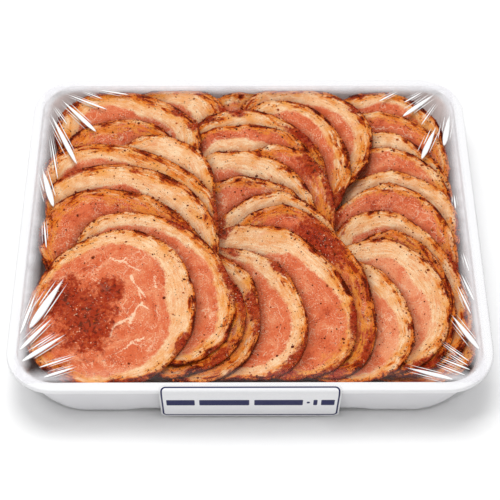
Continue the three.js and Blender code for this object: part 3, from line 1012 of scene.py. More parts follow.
@dataclass(frozen=True)
class MeatFinish:
    """Moist smoked loin: cream fat, salmon lean with white marbling, and a browned crust.

    The mesh carries the distance from the edge (rind), the depth in the lean (lean), the charred
    share (char), how far the crust's brown reaches (brown), how pale the lean is (pale), the
    distance from a line of white gristle (vein) and from the slice that lies on top (near), which
    sets a red-brown painted shade beside that slice's edge, and a circle that follows the way round
    the slice (way_x, way_y). coarse, fine and stretch are the sizes of three noises. The crust
    reaches in by crust_reach, and by more where the slice is brown or in a browned stretch, but at
    least by crust_least.
    """

    fat_pale: Colour = (250, 213, 170)
    fat_warm: Colour = (234, 156, 96)
    golden: Colour = (236, 150, 56)
    amber: Colour = (222, 108, 16)
    russet: Colour = (150, 38, 4)
    bark: Colour = (70, 12, 2)
    lean_pale: Colour = (237, 152, 108)
    lean_pink: Colour = (221, 108, 66)
    lean_deep: Colour = (166, 52, 24)
    # pale marbling and gristle, and also the colour of painted glints on the lean and the char
    marbling_and_glint: Colour = (252, 212, 176)
    seared: Colour = (196, 86, 42)
    mahogany: Colour = (158, 42, 16)
    soot: Colour = (82, 18, 8)
    # painted shade beside the edge of the slice that lies on top
    covered: Colour = (120, 32, 10)
    pepper: Colour = (54, 14, 4)
    specks_per_mm: float = 0.44
    coarse: float = 5.0
    fine: float = 1.1
    stretch: float = 14.0
    crust_least: float = 1.8
    crust_reach: float = 2.4
    crust_per_brown: float = 5.2
    crust_per_stretch: float = 13.0
    relief: float = 0.65

    def drawn(self, graph: Graph, along: float, across: float) -> Value:
        """Noise drawn out round the slice.

        Args:
            graph: the graph.
            along: its repeats in a millimetre along the edge.
            across: its repeats in a millimetre across the edge.

        Returns:
            A value from about -0.5 to 0.5.
        """
        sides = {
            "X": graph.attribute("way_x") * along,
            "Y": graph.attribute("way_y") * along,
            "Z": graph.attribute("rind") * across,
        }
        where = graph.value("ShaderNodeCombineXYZ", {}, sides)
        return graph.noise(where, 1.0, 3.0, 0.7)

    def fat(self, graph: Graph, mm: Value, fine: Value, grain: Value) -> Value:
        """The fat's colour: cream with a faint grain, golden in some clouds and pink in others.

        Args:
            graph: the graph.
            mm: the slice's plan.
            fine: fine noise.
            grain: the fibres.

        Returns:
            The colour.
        """
        clouds = graph.noise(mm, 8.0, 3.0, 0.6)
        warm = (0.42 + clouds * 1.7 + fine * 1.3 + grain * 1.9).high(0.0)
        colour = graph.blend(warm, self.fat_pale, self.fat_warm)
        gold = graph.noise(mm, 12.0, 3.0).step(-0.04, 0.16) * graph.attribute("rind").step(20.0, 3.0)
        colour = graph.blend(gold * (0.3 + graph.attribute("brown") * 0.5), colour, self.golden)
        pink = (graph.noise(mm, 10.0, 3.0, 0.5) + grain * 0.4).step(0.06, 0.26)
        return graph.blend(pink * 0.5, colour, self.lean_pale)

    def lean(self, graph: Graph, mm: Value, depth: Value, fine: Value, grain: Value) -> Value:
        """The lean's colour: pink, deeper in clouds, with white fibres, thin branching lines and fine
        painted glints.

        Args:
            graph: the graph.
            mm: the slice's plan.
            depth: millimetres inside the lean.
            fine: fine noise.
            grain: the fibres.

        Returns:
            The colour.
        """
        clouds = graph.noise(mm, 12.0, 3.0, 0.8)
        shade = 1.0 - graph.attribute("pale") + clouds * 2.2 + fine * 1.1 + grain * 1.0
        flesh = graph.blend(shade.step(-0.1, 0.75), self.lean_pale, self.lean_pink)
        flesh = graph.blend(shade.step(0.7, 1.5), flesh, self.lean_deep)
        where = graph.noise(mm, 15.0, 1.0).step(-0.06, 0.12)
        lines = abs(graph.noise(mm, 9.0, 3.0, 1.2)).step(0.022, 0.0) * where
        broken = graph.noise(mm, 18.0, 1.0).step(0.0, 0.1)
        sheath = abs(depth - 7.0 - clouds * 12.0).step(0.45, 0.15) * broken
        gristle = (graph.attribute("vein") + fine * 2.2 + clouds * 2.2).step(1.0, 0.25)
        flecks = grain.step(0.12, 0.24) * graph.noise(mm, 7.0, 2.0).step(-0.12, 0.15)
        # painted highlights: fine pale glints where the lean is wet
        painted_wet_glints = graph.noise(mm, 0.9, 1.0).step(0.07, 0.17) * graph.noise(mm, 8.0, 2.0).step(-0.1, 0.12)
        light = (lines * 0.65).high(sheath * 0.5).high(flecks * 0.5).high(painted_wet_glints * 0.6)
        light = light.high(gristle * 0.9) * depth.step(0.0, 1.5)
        return graph.blend(light, flesh, self.marbling_and_glint)

    def crust(self, graph: Graph, mm: Value, share: Value, stretches: Value, under: Value) -> Value:
        """The browned edge in mottles: golden, amber, russet and near-black bark.

        Args:
            graph: the graph.
            mm: the slice's plan.
            share: how far out in the crust a point is, 0 at its inner side and 1 at the edge.
            stretches: broad noise that makes some stretches darker.
            under: the colour that it lies on.

        Returns:
            The colour.
        """
        blots = self.drawn(graph, 0.1, 0.34)
        mottle = self.drawn(graph, 0.26, 0.7)
        tone = share + blots * 3.2 + mottle * 1.2 + stretches * 2.2
        bare = (mottle * 1.6 - blots * 1.2).step(0.25, -0.1)
        browned = bare.high(share.step(0.45, 0.85))
        colour = graph.blend(share.step(-0.6, 0.2) * bare * 0.7, under, self.golden)
        brown = tone.step(0.05, 0.55) * share.step(-0.3, 0.3) * browned
        colour = graph.blend(brown * 0.85, colour, self.amber)
        dark = tone.step(0.68, 1.0) * share.step(-0.4, 0.15)
        colour = graph.blend(dark * 0.92, colour, self.russet)
        edge = (tone + share * 0.6).step(1.5, 1.85) * share.step(-0.1, 0.5)
        rim = (share + mottle * 1.6).step(0.85, 1.1)
        specks = graph.noise(mm, 1.5, 1.0).step(0.12, 0.19) * share.step(-0.4, 0.5)
        return graph.blend((edge * 0.85).high(rim * 0.6).high(specks * 0.7), colour, self.bark)

    def burnt(self, graph: Graph, mm: Value, under: Value) -> Value:
        """Charred patches: seared red to near black in crumbs, with pale glints between them.

        Args:
            graph: the graph.
            mm: the slice's plan.
            under: the colour that they lie on.

        Returns:
            The colour.
        """
        crumbs = graph.noise(mm, 2.4, 3.0, 0.6)
        deep = graph.attribute("char") + graph.noise(mm, 7.0, 2.0) * 0.9
        share = (deep + crumbs * 0.7).step(0.0, 0.4)
        tone = graph.blend((crumbs * 1.1 + deep * 0.3).step(-0.1, 0.2), self.seared, self.mahogany)
        tone = graph.blend((crumbs + deep * 0.25).step(0.17, 0.36), tone, self.soot)
        # painted highlights: pale glints between the crumbs, in the marbling colour
        glints = graph.noise(mm, 1.3, 1.0).step(0.14, 0.2) * graph.noise(mm, 9.0, 1.0).step(-0.05, 0.1)
        tone = graph.blend(glints * 0.7, tone, self.marbling_and_glint)
        return graph.blend(share * 0.92, under, tone)

    def specks(self, graph: Graph, mm: Value, under: Value) -> Value:
        """Ground pepper too fine to stand up: dots of uneven size in one cell out of two.

        Args:
            graph: the graph.
            mm: the slice's plan.
            under: the colour that it lies on.

        Returns:
            The colour.
        """
        cells = graph.node("ShaderNodeTexVoronoi", {}, {"Vector": mm, "Scale": self.specks_per_mm})
        tint = graph.value("ShaderNodeSeparateColor", {}, {0: cells.outputs["Color"]})
        dots = (Value(graph, cells.outputs["Distance"]) - tint * 0.16).step(0.03, -0.03)
        return graph.blend(dots * tint.step(0.5, 0.55) * 0.85, under, self.pepper)

    def material(self) -> bpy.types.Material:
        """Builds the material."""
        graph = Graph("smoked_loin")
        mm = graph.plan()
        coarse = graph.noise(mm, self.coarse, 3.0, 0.4)
        fine = graph.noise(mm, self.fine, 2.0)
        stretches = graph.noise(mm, self.stretch, 2.0, 0.4)
        depth = graph.attribute("lean") + coarse * 5.0 + fine * 2.0
        grain = self.drawn(graph, 0.13, 0.8)
        fat = self.fat(graph, mm, fine, grain)
        meat = graph.blend(depth.step(-0.9, 1.7), fat, self.lean(graph, mm, depth, fine, grain))
        # painted shade, red-brown, on a slice beside the edge of the one that lies on top
        contact_shade = (graph.attribute("near") + coarse * 5.0 + fine).step(7.5, -0.5)
        meat = graph.blend(contact_shade * 0.6, meat, self.covered)
        reach = self.crust_reach + graph.attribute("brown") * self.crust_per_brown
        reach = (reach + stretches * self.crust_per_stretch).high(self.crust_least)
        share = 1.0 - (graph.attribute("rind") + coarse * 6.0 + fine * 1.2) / reach
        colour = self.crust(graph, mm, share, stretches, meat)
        colour = self.specks(graph, mm, self.burnt(graph, mm, colour))
        height = coarse * 0.5 + fine * 0.7 + share.step(0.0, 1.0) * fine + depth.step(0.6, -0.6) * 0.3
        return graph.finish("ShaderNodeBsdfPrincipled", {
            "Base Color": colour,
            "Roughness": 0.24 + fine * 0.3 + share.step(0.0, 1.0) * 0.06,
            "Normal": graph.bump(height, self.relief),
            "Specular IOR Level": 0.32,
        })


@dataclass
class SliceHeap:
    """The three columns of slices.

    The left column lies over the middle one, and that over the right one. Only the left column's
    last slice lies lower, under some of the middle column's. Each slice is draped under those that
    lie over it, which shade it out to a margin past their outlines.
    """

    heap: Heap = field(default_factory=Heap)
    finish: MeatFinish = MeatFinish()
    over_last_left: int = 9
    shade_margin: float = 3.0
    browner: float = 0.35
    around: int = 168
    top_rings: int = 24
    edge_rings: int = 7
    under_rings: int = 9
    edge_roundness: float = 0.7
    sunk: float = 0.35
    soft_relief: float = 0.22
    soft_length: float = 13.0
    rough_relief: float = 0.28
    rough_length: float = 4.5
    rough_edge: tuple[float, float] = (7.0, 1.0)
    lean_sunk: float = 0.25
    browned_edge: tuple[float, float] = (4.0, 14.0)
    way_radius: float = 34.0
    way_step: float = 97.0
    plan_step: tuple[float, float] = (173.0, 91.0)

    def __post_init__(self) -> None:
        """Names the slices and drapes them in order, from the one on top down."""
        columns = {"left": LEFT_COLUMN, "middle": MIDDLE_COLUMN, "right": RIGHT_COLUMN}
        self.slices = [item for column in columns.values() for item in column]
        self.names = [
            f"slice_{key}_{place:02d}"
            for key, column in columns.items()
            for place in range(1, len(column) + 1)
        ]
        last_left = len(LEFT_COLUMN) - 1
        self.order = [number for number in range(len(self.slices)) if number != last_left]
        self.order.insert(last_left + self.over_last_left, last_left)
        underside = np.full(self.heap.x.shape, np.inf)
        surface = self.heap.surface(self.heap.x, self.heap.y)
        self.tops = {}
        for number in self.order:
            item = self.slices[number]
            top = self.heap.draped(np.minimum(surface, underside - self.heap.clearance))
            margin = 1 + self.shade_margin / (0.5 * item.wide)
            covered = item.share(self.heap.x, self.heap.y, number) < margin
            underside = np.where(covered, np.minimum(underside, top - self.heap.thickness), underside)
            self.tops[number] = top

    def wall_room(self, z: Array) -> tuple[Array, Array]:
        """The tray's inner wall at a height, kept off by the gap.

        Args:
            z: heights.

        Returns:
            The wall's inset and corner radius there.
        """
        low, high = FLOOR_Z + 5.0, RIM_Z - 4.0
        floor_inset = BASE_INSET + FOAM_THICKNESS
        insets = [floor_inset + 4.0, floor_inset - 1.8, RIM_WIDTH + 1.2, RIM_WIDTH]
        inset = np.interp(z, [FLOOR_Z, low, high, RIM_Z], insets) + GAP
        return inset, np.interp(z, [low, high], [RIM_CORNER, RIM_CORNER - RIM_WIDTH])

    def rings(self, radius: Array, detail: int) -> tuple[Array, Array]:
        """How a slice's rings lie round its section, from the middle below to the middle above.

        The underside's rings come first, from the middle out. The edge is a half circle of the
        slice's thickness, flattened a little, and the top's rings run from the edge back to the
        middle.

        Args:
            radius: the outline's distance from the slice's middle at each station.
            detail: how many times finer the top's rings are.

        Returns:
            Each ring's distance from the middle at each station, and how far each ring lies down
            the slice's thickness, 0 on top and 1 below.
        """
        half = self.heap.thickness / 2
        lean = np.pi * (np.arange(self.edge_rings) / (self.edge_rings - 1) - 0.5)
        under = np.linspace(0.12, 1.0, self.under_rings, endpoint=False)
        over = np.linspace(1.0, 0.05, self.top_rings * detail + 1)[1:]
        flat = (radius - half)[None, :]
        edge = flat + half * np.cos(lean)[:, None] ** self.edge_roundness
        reach = np.concatenate([under[:, None] * flat, edge, over[:, None] * flat])
        below = np.concatenate([np.ones_like(under), 0.5 - 0.5 * np.sin(lean), np.zeros_like(over)])
        return reach, below[:, None]

    def surface(self, number: int) -> Surface:
        """A slice: rings of its outline drawn in, laid on its draped sheet.

        Its skin is raised and sunk by soft ripples, rougher near the edge, and the lean lies a
        little lower than the fat.

        Args:
            number: the slice's number.

        Returns:
            The closed surface, with what its finish reads.
        """
        item = self.slices[number]
        detail = 2 if item.veins else 1
        angle = np.arange(self.around * detail) * 2 * np.pi / (self.around * detail)
        out_x, out_y = item.outline(angle, number)
        radius = np.hypot(out_x, out_y)
        reach, below = self.rings(radius, detail)
        x = item.x + out_x * reach / radius
        y = item.y + out_y * reach / radius
        inset = radius - reach
        sheet = self.heap.sample(self.tops[number], x, y)
        rough = self.rough_relief * smooth_step(inset, *self.rough_edge)
        relief = self.soft_relief * ripples(x, y, self.soft_length, number)
        relief = relief + rough * ripples(x, y, self.rough_length, number + 50)
        depth = item.lean_depth(x, y, inset, number)
        relief = relief - self.lean_sunk * smooth_step(depth, -1.0, 2.0)
        z = sheet - (1 - below) * (self.sunk - relief) - below * self.heap.thickness
        z = np.maximum(z, FLOOR_Z + GAP)
        x, y = PLAN.kept_inside(x, y, *self.wall_room(z))
        result = closed_loft(np.stack([x, y, z], -1))
        way = np.arctan2(out_y, out_x)
        brown = item.brown + self.browner * np.cos(way - math.radians(item.brown_turn))
        fields = {
            "rind": inset,
            "lean": depth,
            "char": self.charred(item, x, y, inset),
            "vein": item.vein_distance(x, y),
            # distance from the slice on top, which the finish turns into painted shade
            "near": self.uncovered(x, y, number),
            "brown": np.broadcast_to(brown, x.shape),
            "way_x": np.broadcast_to(self.way_radius * np.cos(angle), x.shape) + self.way_step * number,
            "way_y": np.broadcast_to(self.way_radius * np.sin(angle), x.shape),
        }
        for key, numbers in fields.items():
            ends = numbers[[0, -1]].mean(axis=1)
            result.carried[key] = np.concatenate([ends[:1], numbers.ravel(), ends[1:]])
        result.carried["pale"] = np.full(len(result.points), item.pale)
        flat = turned(result.points[:, 0] - item.x, result.points[:, 1] - item.y, -item.turn)
        result.plan = np.stack(flat, -1) + np.array(self.plan_step) * (number + 1)
        return result

    def charred(self, item: Slice, x: Array, y: Array, inset: Array) -> Array:
        """How deep in a charred patch places are: the heap's browned ones reach only a slice's edge.

        Args:
            item: the slice.
            x: places along X.
            y: places along Y.
            inset: distance from the slice's edge.

        Returns:
            1 in a patch's middle, 0 at its edge and less outside.
        """
        browned = np.max([patch.depth(x, y) for patch in BROWNED], axis=0)
        browned = browned - 0.2 - 1.2 * smooth_step(inset, *self.browned_edge)
        return np.max([browned, *(patch.depth(x, y) for patch in item.char)], axis=0)

    def uncovered(self, x: Array, y: Array, number: int) -> Array:
        """Distance from the nearest slice that lies over one.

        Args:
            x: places along X.
            y: places along Y.
            number: the lower slice's number.

        Returns:
            The distance outside its outline, at most FAR, and less than 0 under it.
        """
        nearest = np.full(x.shape, FAR)
        for above in self.order[: self.order.index(number)]:
            item = self.slices[above]
            beyond = (item.share(x, y, above) - 1) * 0.25 * (item.long + item.wide)
            nearest = np.minimum(nearest, beyond)
        return nearest

    def build(self) -> None:
        """Makes every slice."""
        material = self.finish.material()
        for number, name in enumerate(self.names):
            self.surface(number).piece(name.replace("slice", "loin"), material, Slot.MEAT, name)

    def seen(self, x: Array, y: Array) -> tuple[Array, Array, Array]:
        """What lies on top at each place.

        Args:
            x: places along X.
            y: places along Y.

        Returns:
            The top slice's number or -1, its height, and the distance from its edge.
        """
        top = np.full(x.shape, -1)
        height = np.zeros(x.shape)
        inset = np.zeros(x.shape)
        for number in self.order:
            item = self.slices[number]
            share = item.share(x, y, number)
            here = (top < 0) & (share < 1)
            from_middle = np.hypot(x - item.x, y - item.y)
            top = np.where(here, number, top)
            height = np.where(here, self.heap.sample(self.tops[number], x, y), height)
            inset = np.where(here, (1 - share) * from_middle / np.maximum(share, 0.05), inset)
        return top, height, inset


# ---- pepper and crumbs -----------------------------------------------------------------------


@dataclass(frozen=True)
class SpiceFinish:
    """Ground pepper or crust crumbs: two colours in clouds."""

    name: str
    dark: Colour
    light: Colour
    relief: float = 0.1

    def material(self) -> bpy.types.Material:
        """Builds the material."""
        graph = Graph(self.name)
        place = graph.place()
        shade = graph.noise(place, 3.0, 2.0).step(-0.15, 0.2)
        return graph.finish("ShaderNodeBsdfPrincipled", {
            "Base Color": graph.blend(shade, self.dark, self.light),
            "Roughness": 0.45 + graph.noise(place, 0.6) * 0.3,
            "Normal": graph.bump(graph.noise(place, 0.4), self.relief),
        })


@dataclass
class Grains:
    """Many small grains lying on the slices, as one mesh of uneven twenty-sided lumps.

    size holds the smallest and largest radius. Past edge_pull from a slice's edge they thin out.
    """

    name: str
    finish: SpiceFinish
    count: int
    size: tuple[float, float]
    edge_pull: float
    seed: int
    tries_each: int = 5
    wall_inset: float = 9.0
    flatness: float = 0.6
    sunk: float = 0.25

    @staticmethod
    def lump() -> tuple[Array, Array]:
        """A twenty-sided lump of radius 1.

        Returns:
            Its 12 points, the corners of three crossed golden rectangles, and its 20 faces.
        """
        golden = (1 + 5 ** 0.5) / 2
        base = [(side, end * golden) for side in (-1, 1) for end in (-1, 1)]
        points = [(0, a, b) for a, b in base] + [(a, b, 0) for a, b in base] + [(b, 0, a) for a, b in base]
        points = np.array(points, float)
        gaps = np.linalg.norm(points[:, None] - points[None], axis=-1)
        near = np.abs(gaps - 2.0) < 0.01
        faces = []
        for a, b, c in combinations(range(len(points)), 3):
            if near[a, b] and near[b, c] and near[a, c]:
                outward = np.dot(np.cross(points[b] - points[a], points[c] - points[a]), points[a])
                faces.append((a, b, c) if outward > 0 else (a, c, b))
        return points / np.linalg.norm(points[0]), np.array(faces)

    def surface(self, slices: SliceHeap) -> Surface:
        """Strews the grains where a slice shows, more of them near its edge.

        Args:
            slices: the heap that they lie on.

        Returns:
            All grains as one mesh.
        """
        draw = np.random.default_rng(self.seed)
        tries = self.count * self.tries_each
        reach_x = PLAN.half_x - self.wall_inset
        reach_y = PLAN.half_y - self.wall_inset
        x = draw.uniform(-reach_x, reach_x, tries)
        y = draw.uniform(-reach_y, reach_y, tries)
        top, height, inset = slices.seen(x, y)
        chance = 0.02 + np.exp(-np.maximum(inset, 0) / self.edge_pull)
        kept = np.flatnonzero((top >= 0) & (draw.uniform(0, 1.1, tries) < chance))[: self.count]
        smallest, largest = self.size
        radius = draw.uniform(0, 1, len(kept)) ** 2.5 * (largest - smallest) + smallest
        points, faces = self.lump()
        squash = draw.uniform(0.55, 1.25, (len(kept), 1, 3))
        dents = draw.uniform(0.8, 1.15, (len(kept), len(points), 1))
        turn = draw.uniform(0, 2 * np.pi, len(kept))[:, None]
        shapes = points[None] * squash * dents * radius[:, None, None]
        turned_x = shapes[..., 0] * np.cos(turn) - shapes[..., 1] * np.sin(turn)
        turned_y = shapes[..., 0] * np.sin(turn) + shapes[..., 1] * np.cos(turn)
        z = shapes[..., 2] * self.flatness + (height[kept] - self.sunk)[:, None]
        places = np.stack([turned_x + x[kept][:, None], turned_y + y[kept][:, None], z], -1)
        all_faces = faces[None] + len(points) * np.arange(len(kept))[:, None, None]
        return Surface(places.reshape(-1, 3), all_faces.reshape(-1, 3).tolist())

    def build(self, slices: SliceHeap) -> None:
        """Makes the grains on the slices."""
        self.surface(slices).piece(self.name, self.finish.material(), Slot.MEAT)


# ---- film ------------------------------------------------------------------------------------


@dataclass(frozen=True)
class FilmFinish:
    """Clear stretch film: see-through but for a soft gloss that grows towards grazing views.

    The mesh carries a milky white band beside the rim: partly the film's own whitening where it was
    drawn tight, partly a painted reflection.
    """

    tint: Colour = (254, 254, 254)
    milk_and_reflection: Colour = (250, 249, 252)
    least_gloss: float = 0.008
    grazing_gloss: float = 0.1
    buckle: float = 38.0
    relief: float = 0.9

    def material(self) -> bpy.types.Material:
        """Builds the material."""
        graph = Graph("clear_film")
        place = graph.place()
        height = graph.noise(graph.scaled(place, (1.0, 1.0, 0.3)), self.buckle, 2.0, 0.5)
        normal = graph.bump(height, self.relief)
        facing = graph.value("ShaderNodeLayerWeight", {}, {"Blend": 0.5, "Normal": normal}, "Facing")
        gloss = self.least_gloss + facing * facing * facing * self.grazing_gloss
        clear = graph.node("ShaderNodeBsdfTransparent", {}, {"Color": linear(self.tint)})
        shine = graph.node("ShaderNodeBsdfGlossy", {}, {
            "Color": (1.0, 1.0, 1.0, 1.0),
            "Roughness": 0.12,
            "Normal": normal,
        })
        milky_reflection = graph.node("ShaderNodeBsdfDiffuse", {}, {"Color": linear(self.milk_and_reflection)})
        # painted reflection: milky white in a band beside the rim, with the film's own whitening
        haze_and_highlight = graph.attribute("haze_and_highlight") * (0.42 + graph.noise(place, 9.0, 2.0) * 0.4)
        sheet = graph.node("ShaderNodeMixShader", {}, {0: gloss, 1: clear.outputs[0], 2: shine.outputs[0]})
        return graph.finish("ShaderNodeMixShader", {0: haze_and_highlight, 1: sheet.outputs[0], 2: milky_reflection.outputs[0]})


@dataclass(frozen=True)
class FoldHighlightFinish:
    """Film drawn into a tight fold, which shows as a painted highlight: a white streak with soft sides,
    partly the film's own whitening.

    The mesh carries how strong the painted highlight is at each place.
    """

    # the colour of the painted highlight on a fold
    white: Colour = (255, 255, 255)

    def material(self) -> bpy.types.Material:
        """Builds the material."""
        graph = Graph("drawn_film_highlight")
        clear = graph.node("ShaderNodeBsdfTransparent", {}, {"Color": (1.0, 1.0, 1.0, 1.0)})
        white = graph.node("ShaderNodeBsdfPrincipled", {}, {
            "Base Color": linear(self.white),
            "Roughness": 0.25,
            "Specular IOR Level": 0.8,
        })
        # painted highlight: white along the fold, in streaks
        streaks = graph.noise(graph.scaled(graph.plan(), (0.06, 2.2, 1.0)), 1.0, 2.0)
        haze_and_highlight = (graph.attribute("haze_and_highlight") * (1.0 + streaks * 1.8)).step(0.05, 0.75)
        return graph.finish("ShaderNodeMixShader", {0: haze_and_highlight, 1: clear.outputs[0], 2: white.outputs[0]})


@dataclass(frozen=True)
class Fold:
    """A drawn fold of the film: its two ends on the tray's plan and its width."""

    x0: float
    y0: float
    x1: float
    y1: float
    width: float


FOLDS = (
    # back left corner
    Fold(-135, 100, -112, 47, 3.4), Fold(-128, 111, -101, 77, 3.4), Fold(-127, 117, -95, 99, 1.8),
    Fold(-115, 119, -99, 110, 1.0), Fold(-106, 120, -81, 114, 1.6), Fold(-133, 106, -121, 85, 0.8),
    Fold(-136, 49, -125, 11, 4.2), Fold(-133, 81, -124, 35, 1.0), Fold(-131, 5, -127, -23, 1.2),
    # back right corner
    Fold(104, 119, 88, 107, 1.4), Fold(121, 119, 105, 106, 1.4), Fold(129, 117, 103, 92, 3.6),
    Fold(129, 109, 115, 84, 0.9), Fold(126, 85, 113, 52, 3.9), Fold(136, 98, 129, 65, 4.2),
    Fold(132, 24, 132, 10, 1.2), Fold(133, -24, 136, -42, 1.2),
    # front right corner
    Fold(130, -41, 137, -65, 1.6), Fold(127, -51, 134, -75, 1.4), Fold(121, -74, 137, -102, 3.6),
    Fold(90, -114, 120, -123, 3.1), Fold(113, -95, 130, -110, 1.0), Fold(111, -107, 130, -116, 1.4),
    Fold(108, -111, 127, -120, 1.2), Fold(116, -103, 129, -113, 0.9),
    # front left corner
    Fold(-113, -45, -133, -86, 5.7), Fold(-130, -54, -138, -90, 2.0), Fold(-118, -76, -138, -102, 3.1),
    Fold(-115, -88, -131, -101, 1.0), Fold(-109, -89, -136, -110, 3.6), Fold(-102, -105, -125, -114, 1.4),
    Fold(-101, -113, -122, -121, 2.2),
)


@dataclass
class Film:
    """Stretch film over the heap: a dome, the rim, the drawn sides and a fold under the base.

    The fine creases beside each drawn fold have their distance aside in fold widths, their start
    and end as shares of the fold's length, and how strong their painted highlight is.
    """

    sheet: float = 0.15
    fold_width: float = 30.0
    finish: FilmFinish = FilmFinish()
    fold_highlight_finish: FoldHighlightFinish = FoldHighlightFinish()
    dome_start: float = 118.0
    dome_rings: int = 28
    reflection_band_starts: tuple[float, float] = (5.0, 7.5)
    reflection_band_fades: tuple[float, float] = (14.5, 8.0)
    clear_front: tuple[float, float] = (-125.0, -95.0)
    clear_middle: tuple[float, float] = (98.0, 122.0)
    blade_stations: int = 15
    blade_sides: int = 10
    blade_lift: float = 0.16
    creases: tuple[tuple[float, float, float, float], ...] = (
        (0.5, 0.05, 0.62, 0.7),
        (-0.55, 0.0, 0.8, 0.6),
        (0.95, 0.2, 0.85, 0.45),
    )

    def height(self, x: Array, y: Array) -> Array:
        """The film over the tray: a cushion of 1 - share^2 both ways.

        Args:
            x: places along X.
            y: places along Y.

        Returns:
            The height of its inner face.
        """
        rim = RIM_Z + GAP
        across_x = np.clip(np.abs(x) / (PLAN.half_x - RIM_WIDTH + 1), 0, 1)
        across_y = np.clip(np.abs(y) / (PLAN.half_y - RIM_WIDTH + 1), 0, 1)
        return rim + (FILM_TOP_Z - GAP - rim) * (1 - across_x ** 2) * (1 - across_y ** 2)

    def face(self, off: float) -> Array:
        """One face of the film as rings, from the middle of the dome down to the fold's edge.

        Args:
            off: how far the face stands off the film's inner face.

        Returns:
            Points by ring, station and axis.
        """
        out = GAP + off
        inner = RIM_CORNER - RIM_WIDTH
        dome_inset = np.linspace(self.dome_start, RIM_WIDTH + 1.5, self.dome_rings)
        dome_radius = inner - dome_inset * 0.18
        dome = np.stack([dome_inset, dome_radius, np.full_like(dome_inset, np.nan)], -1)
        skirt = rounded(np.array([
            (RIM_WIDTH - 1.0, inner + 1.0, RIM_Z + out),
            (2.2, RIM_CORNER - 2.2, RIM_Z + out),
            (-out, RIM_CORNER + out, RIM_Z + out - 0.2),
            (-out, RIM_CORNER + out, RIM_Z - 2.0),
            (-out, RIM_CORNER + out, RIM_Z - LIP_DROP + 0.5),
            (BASE_INSET * 0.5, 33.0, 17.0),
            (BASE_INSET - 1.0 - out, BASE_CORNER + out, BASE_Z + 2.5),
            (BASE_INSET + 1.5 - out, BASE_CORNER + out, 0.3 + GAP - off),
            (BASE_INSET + 5.0 - out, BASE_CORNER + out, GAP - off),
            (BASE_INSET + self.fold_width, 16.0, GAP - off),
        ]), 2)
        stations = np.concatenate([dome, skirt])
        x, y, _ = PLAN.ring(stations[:, 0], stations[:, 1])
        over = self.height(x, y) + off
        z = np.where(np.isnan(stations[:, 2:3]), over, stations[:, 2:3])
        return np.stack([x, y, z], -1)

    def surface(self) -> Surface:
        """The film as a closed sheet: its inner face out to the fold, and its outer face back.

        Returns:
            The closed surface. Its milky white, partly a painted reflection, is a band beside the rim, all
            round but for the middle of the front.
        """
        inner = self.face(0.0)
        outer = self.face(self.sheet)[::-1]
        top = self.height(np.zeros(1), np.zeros(1))[0]
        rings = np.concatenate([inner, outer])
        result = closed_loft(rings, np.array([0, 0, top]), np.array([0, 0, top + self.sheet]))
        x, y, z = np.moveaxis(result.points, -1, 0)
        # the band of milky white and painted reflection beside the rim
        inset = np.minimum(PLAN.half_x - np.abs(x), PLAN.half_y - np.abs(y))
        band = smooth_step(inset, *self.reflection_band_fades) * smooth_step(inset, *self.reflection_band_starts) * (z > RIM_Z)
        off_front = smooth_step(y, *self.clear_front)
        off_middle = smooth_step(np.abs(x), *self.clear_middle)
        result.carried["haze_and_highlight"] = band * np.maximum(off_front, off_middle)
        return result

    def blade(self, fold: Fold, haze_and_highlight: float) -> Surface:
        """A drawn fold: a lens-shaped ridge on the film, widest near its inner end, closed at both.

        Args:
            fold: its ends and width.
            haze_and_highlight: how strong its painted highlight is.

        Returns:
            The closed surface, with the strength of its painted highlight, 1 along its crest and 0 at its
            sides and ends.
        """
        share = np.linspace(0.0, 1.0, self.blade_stations)[:, None]
        taper = np.sin(np.pi * share ** 1.6) ** 0.7 + 0.02
        turn = np.arange(self.blade_sides) * 2 * np.pi / self.blade_sides
        way = np.array([fold.x1 - fold.x0, fold.y1 - fold.y0])
        length = np.linalg.norm(way)
        way = way / length
        side = 0.5 * fold.width * taper * np.cos(turn)
        x = fold.x0 + (fold.x1 - fold.x0) * share + way[1] * side
        y = fold.y0 + (fold.y1 - fold.y0) * share - way[0] * side
        lift = self.blade_lift * fold.width * taper * np.sin(turn)
        z = self.height(x, y) + self.sheet + 0.1 + np.maximum(lift, 0.2 * lift)
        rings = np.stack([x, y, z], -1)
        result = closed_loft(rings[:, ::-1])
        # painted highlight: strongest along the crest, fading to the sides and ends
        white = haze_and_highlight * ((1 - np.abs(np.cos(turn)) ** 2) * 0.8 + 0.2) * np.minimum(taper * 1.6, 1.0)
        result.carried["haze_and_highlight"] = np.concatenate([[0.0], white[:, ::-1].ravel(), [0.0]])
        along = np.broadcast_to(share * length, side.shape) + fold.x0 * 7.0
        flat = np.stack([along[:, ::-1], side[:, ::-1] + fold.y0], -1).reshape(-1, 2)
        result.plan = np.concatenate([flat[:1], flat, flat[-1:]])
        return result

    def streaks(self, fold: Fold) -> list[Surface]:
        """A fold with the fine creases beside it.

        Args:
            fold: the fold.

        Returns:
            Its own ridge and one for each crease.
        """
        blades = [self.blade(fold, 1.0)]
        way = np.array([fold.x1 - fold.x0, fold.y1 - fold.y0])
        across = np.array([way[1], -way[0]]) / np.linalg.norm(way)
        for aside, start, end, haze_and_highlight in self.creases:
            shift = across * (aside * fold.width + 0.8 * np.sign(aside))
            x0, y0 = np.array([fold.x0, fold.y0]) + way * start + shift
            x1, y1 = np.array([fold.x0, fold.y0]) + way * end + shift
            blades.append(self.blade(Fold(x0, y0, x1, y1, 0.3 + 0.12 * fold.width), haze_and_highlight))
        return blades

    def build(self) -> None:
        """Makes the film, and its drawn folds with their painted highlights."""
        self.surface().piece("stretch_film", self.finish.material(), Slot.FILM, "film")
        blades = joined([blade for fold in FOLDS for blade in self.streaks(fold)])
        blades.piece("film_fold_highlights", self.fold_highlight_finish.material(), Slot.FILM)


# ---- sticker ---------------------------------------------------------------------------------


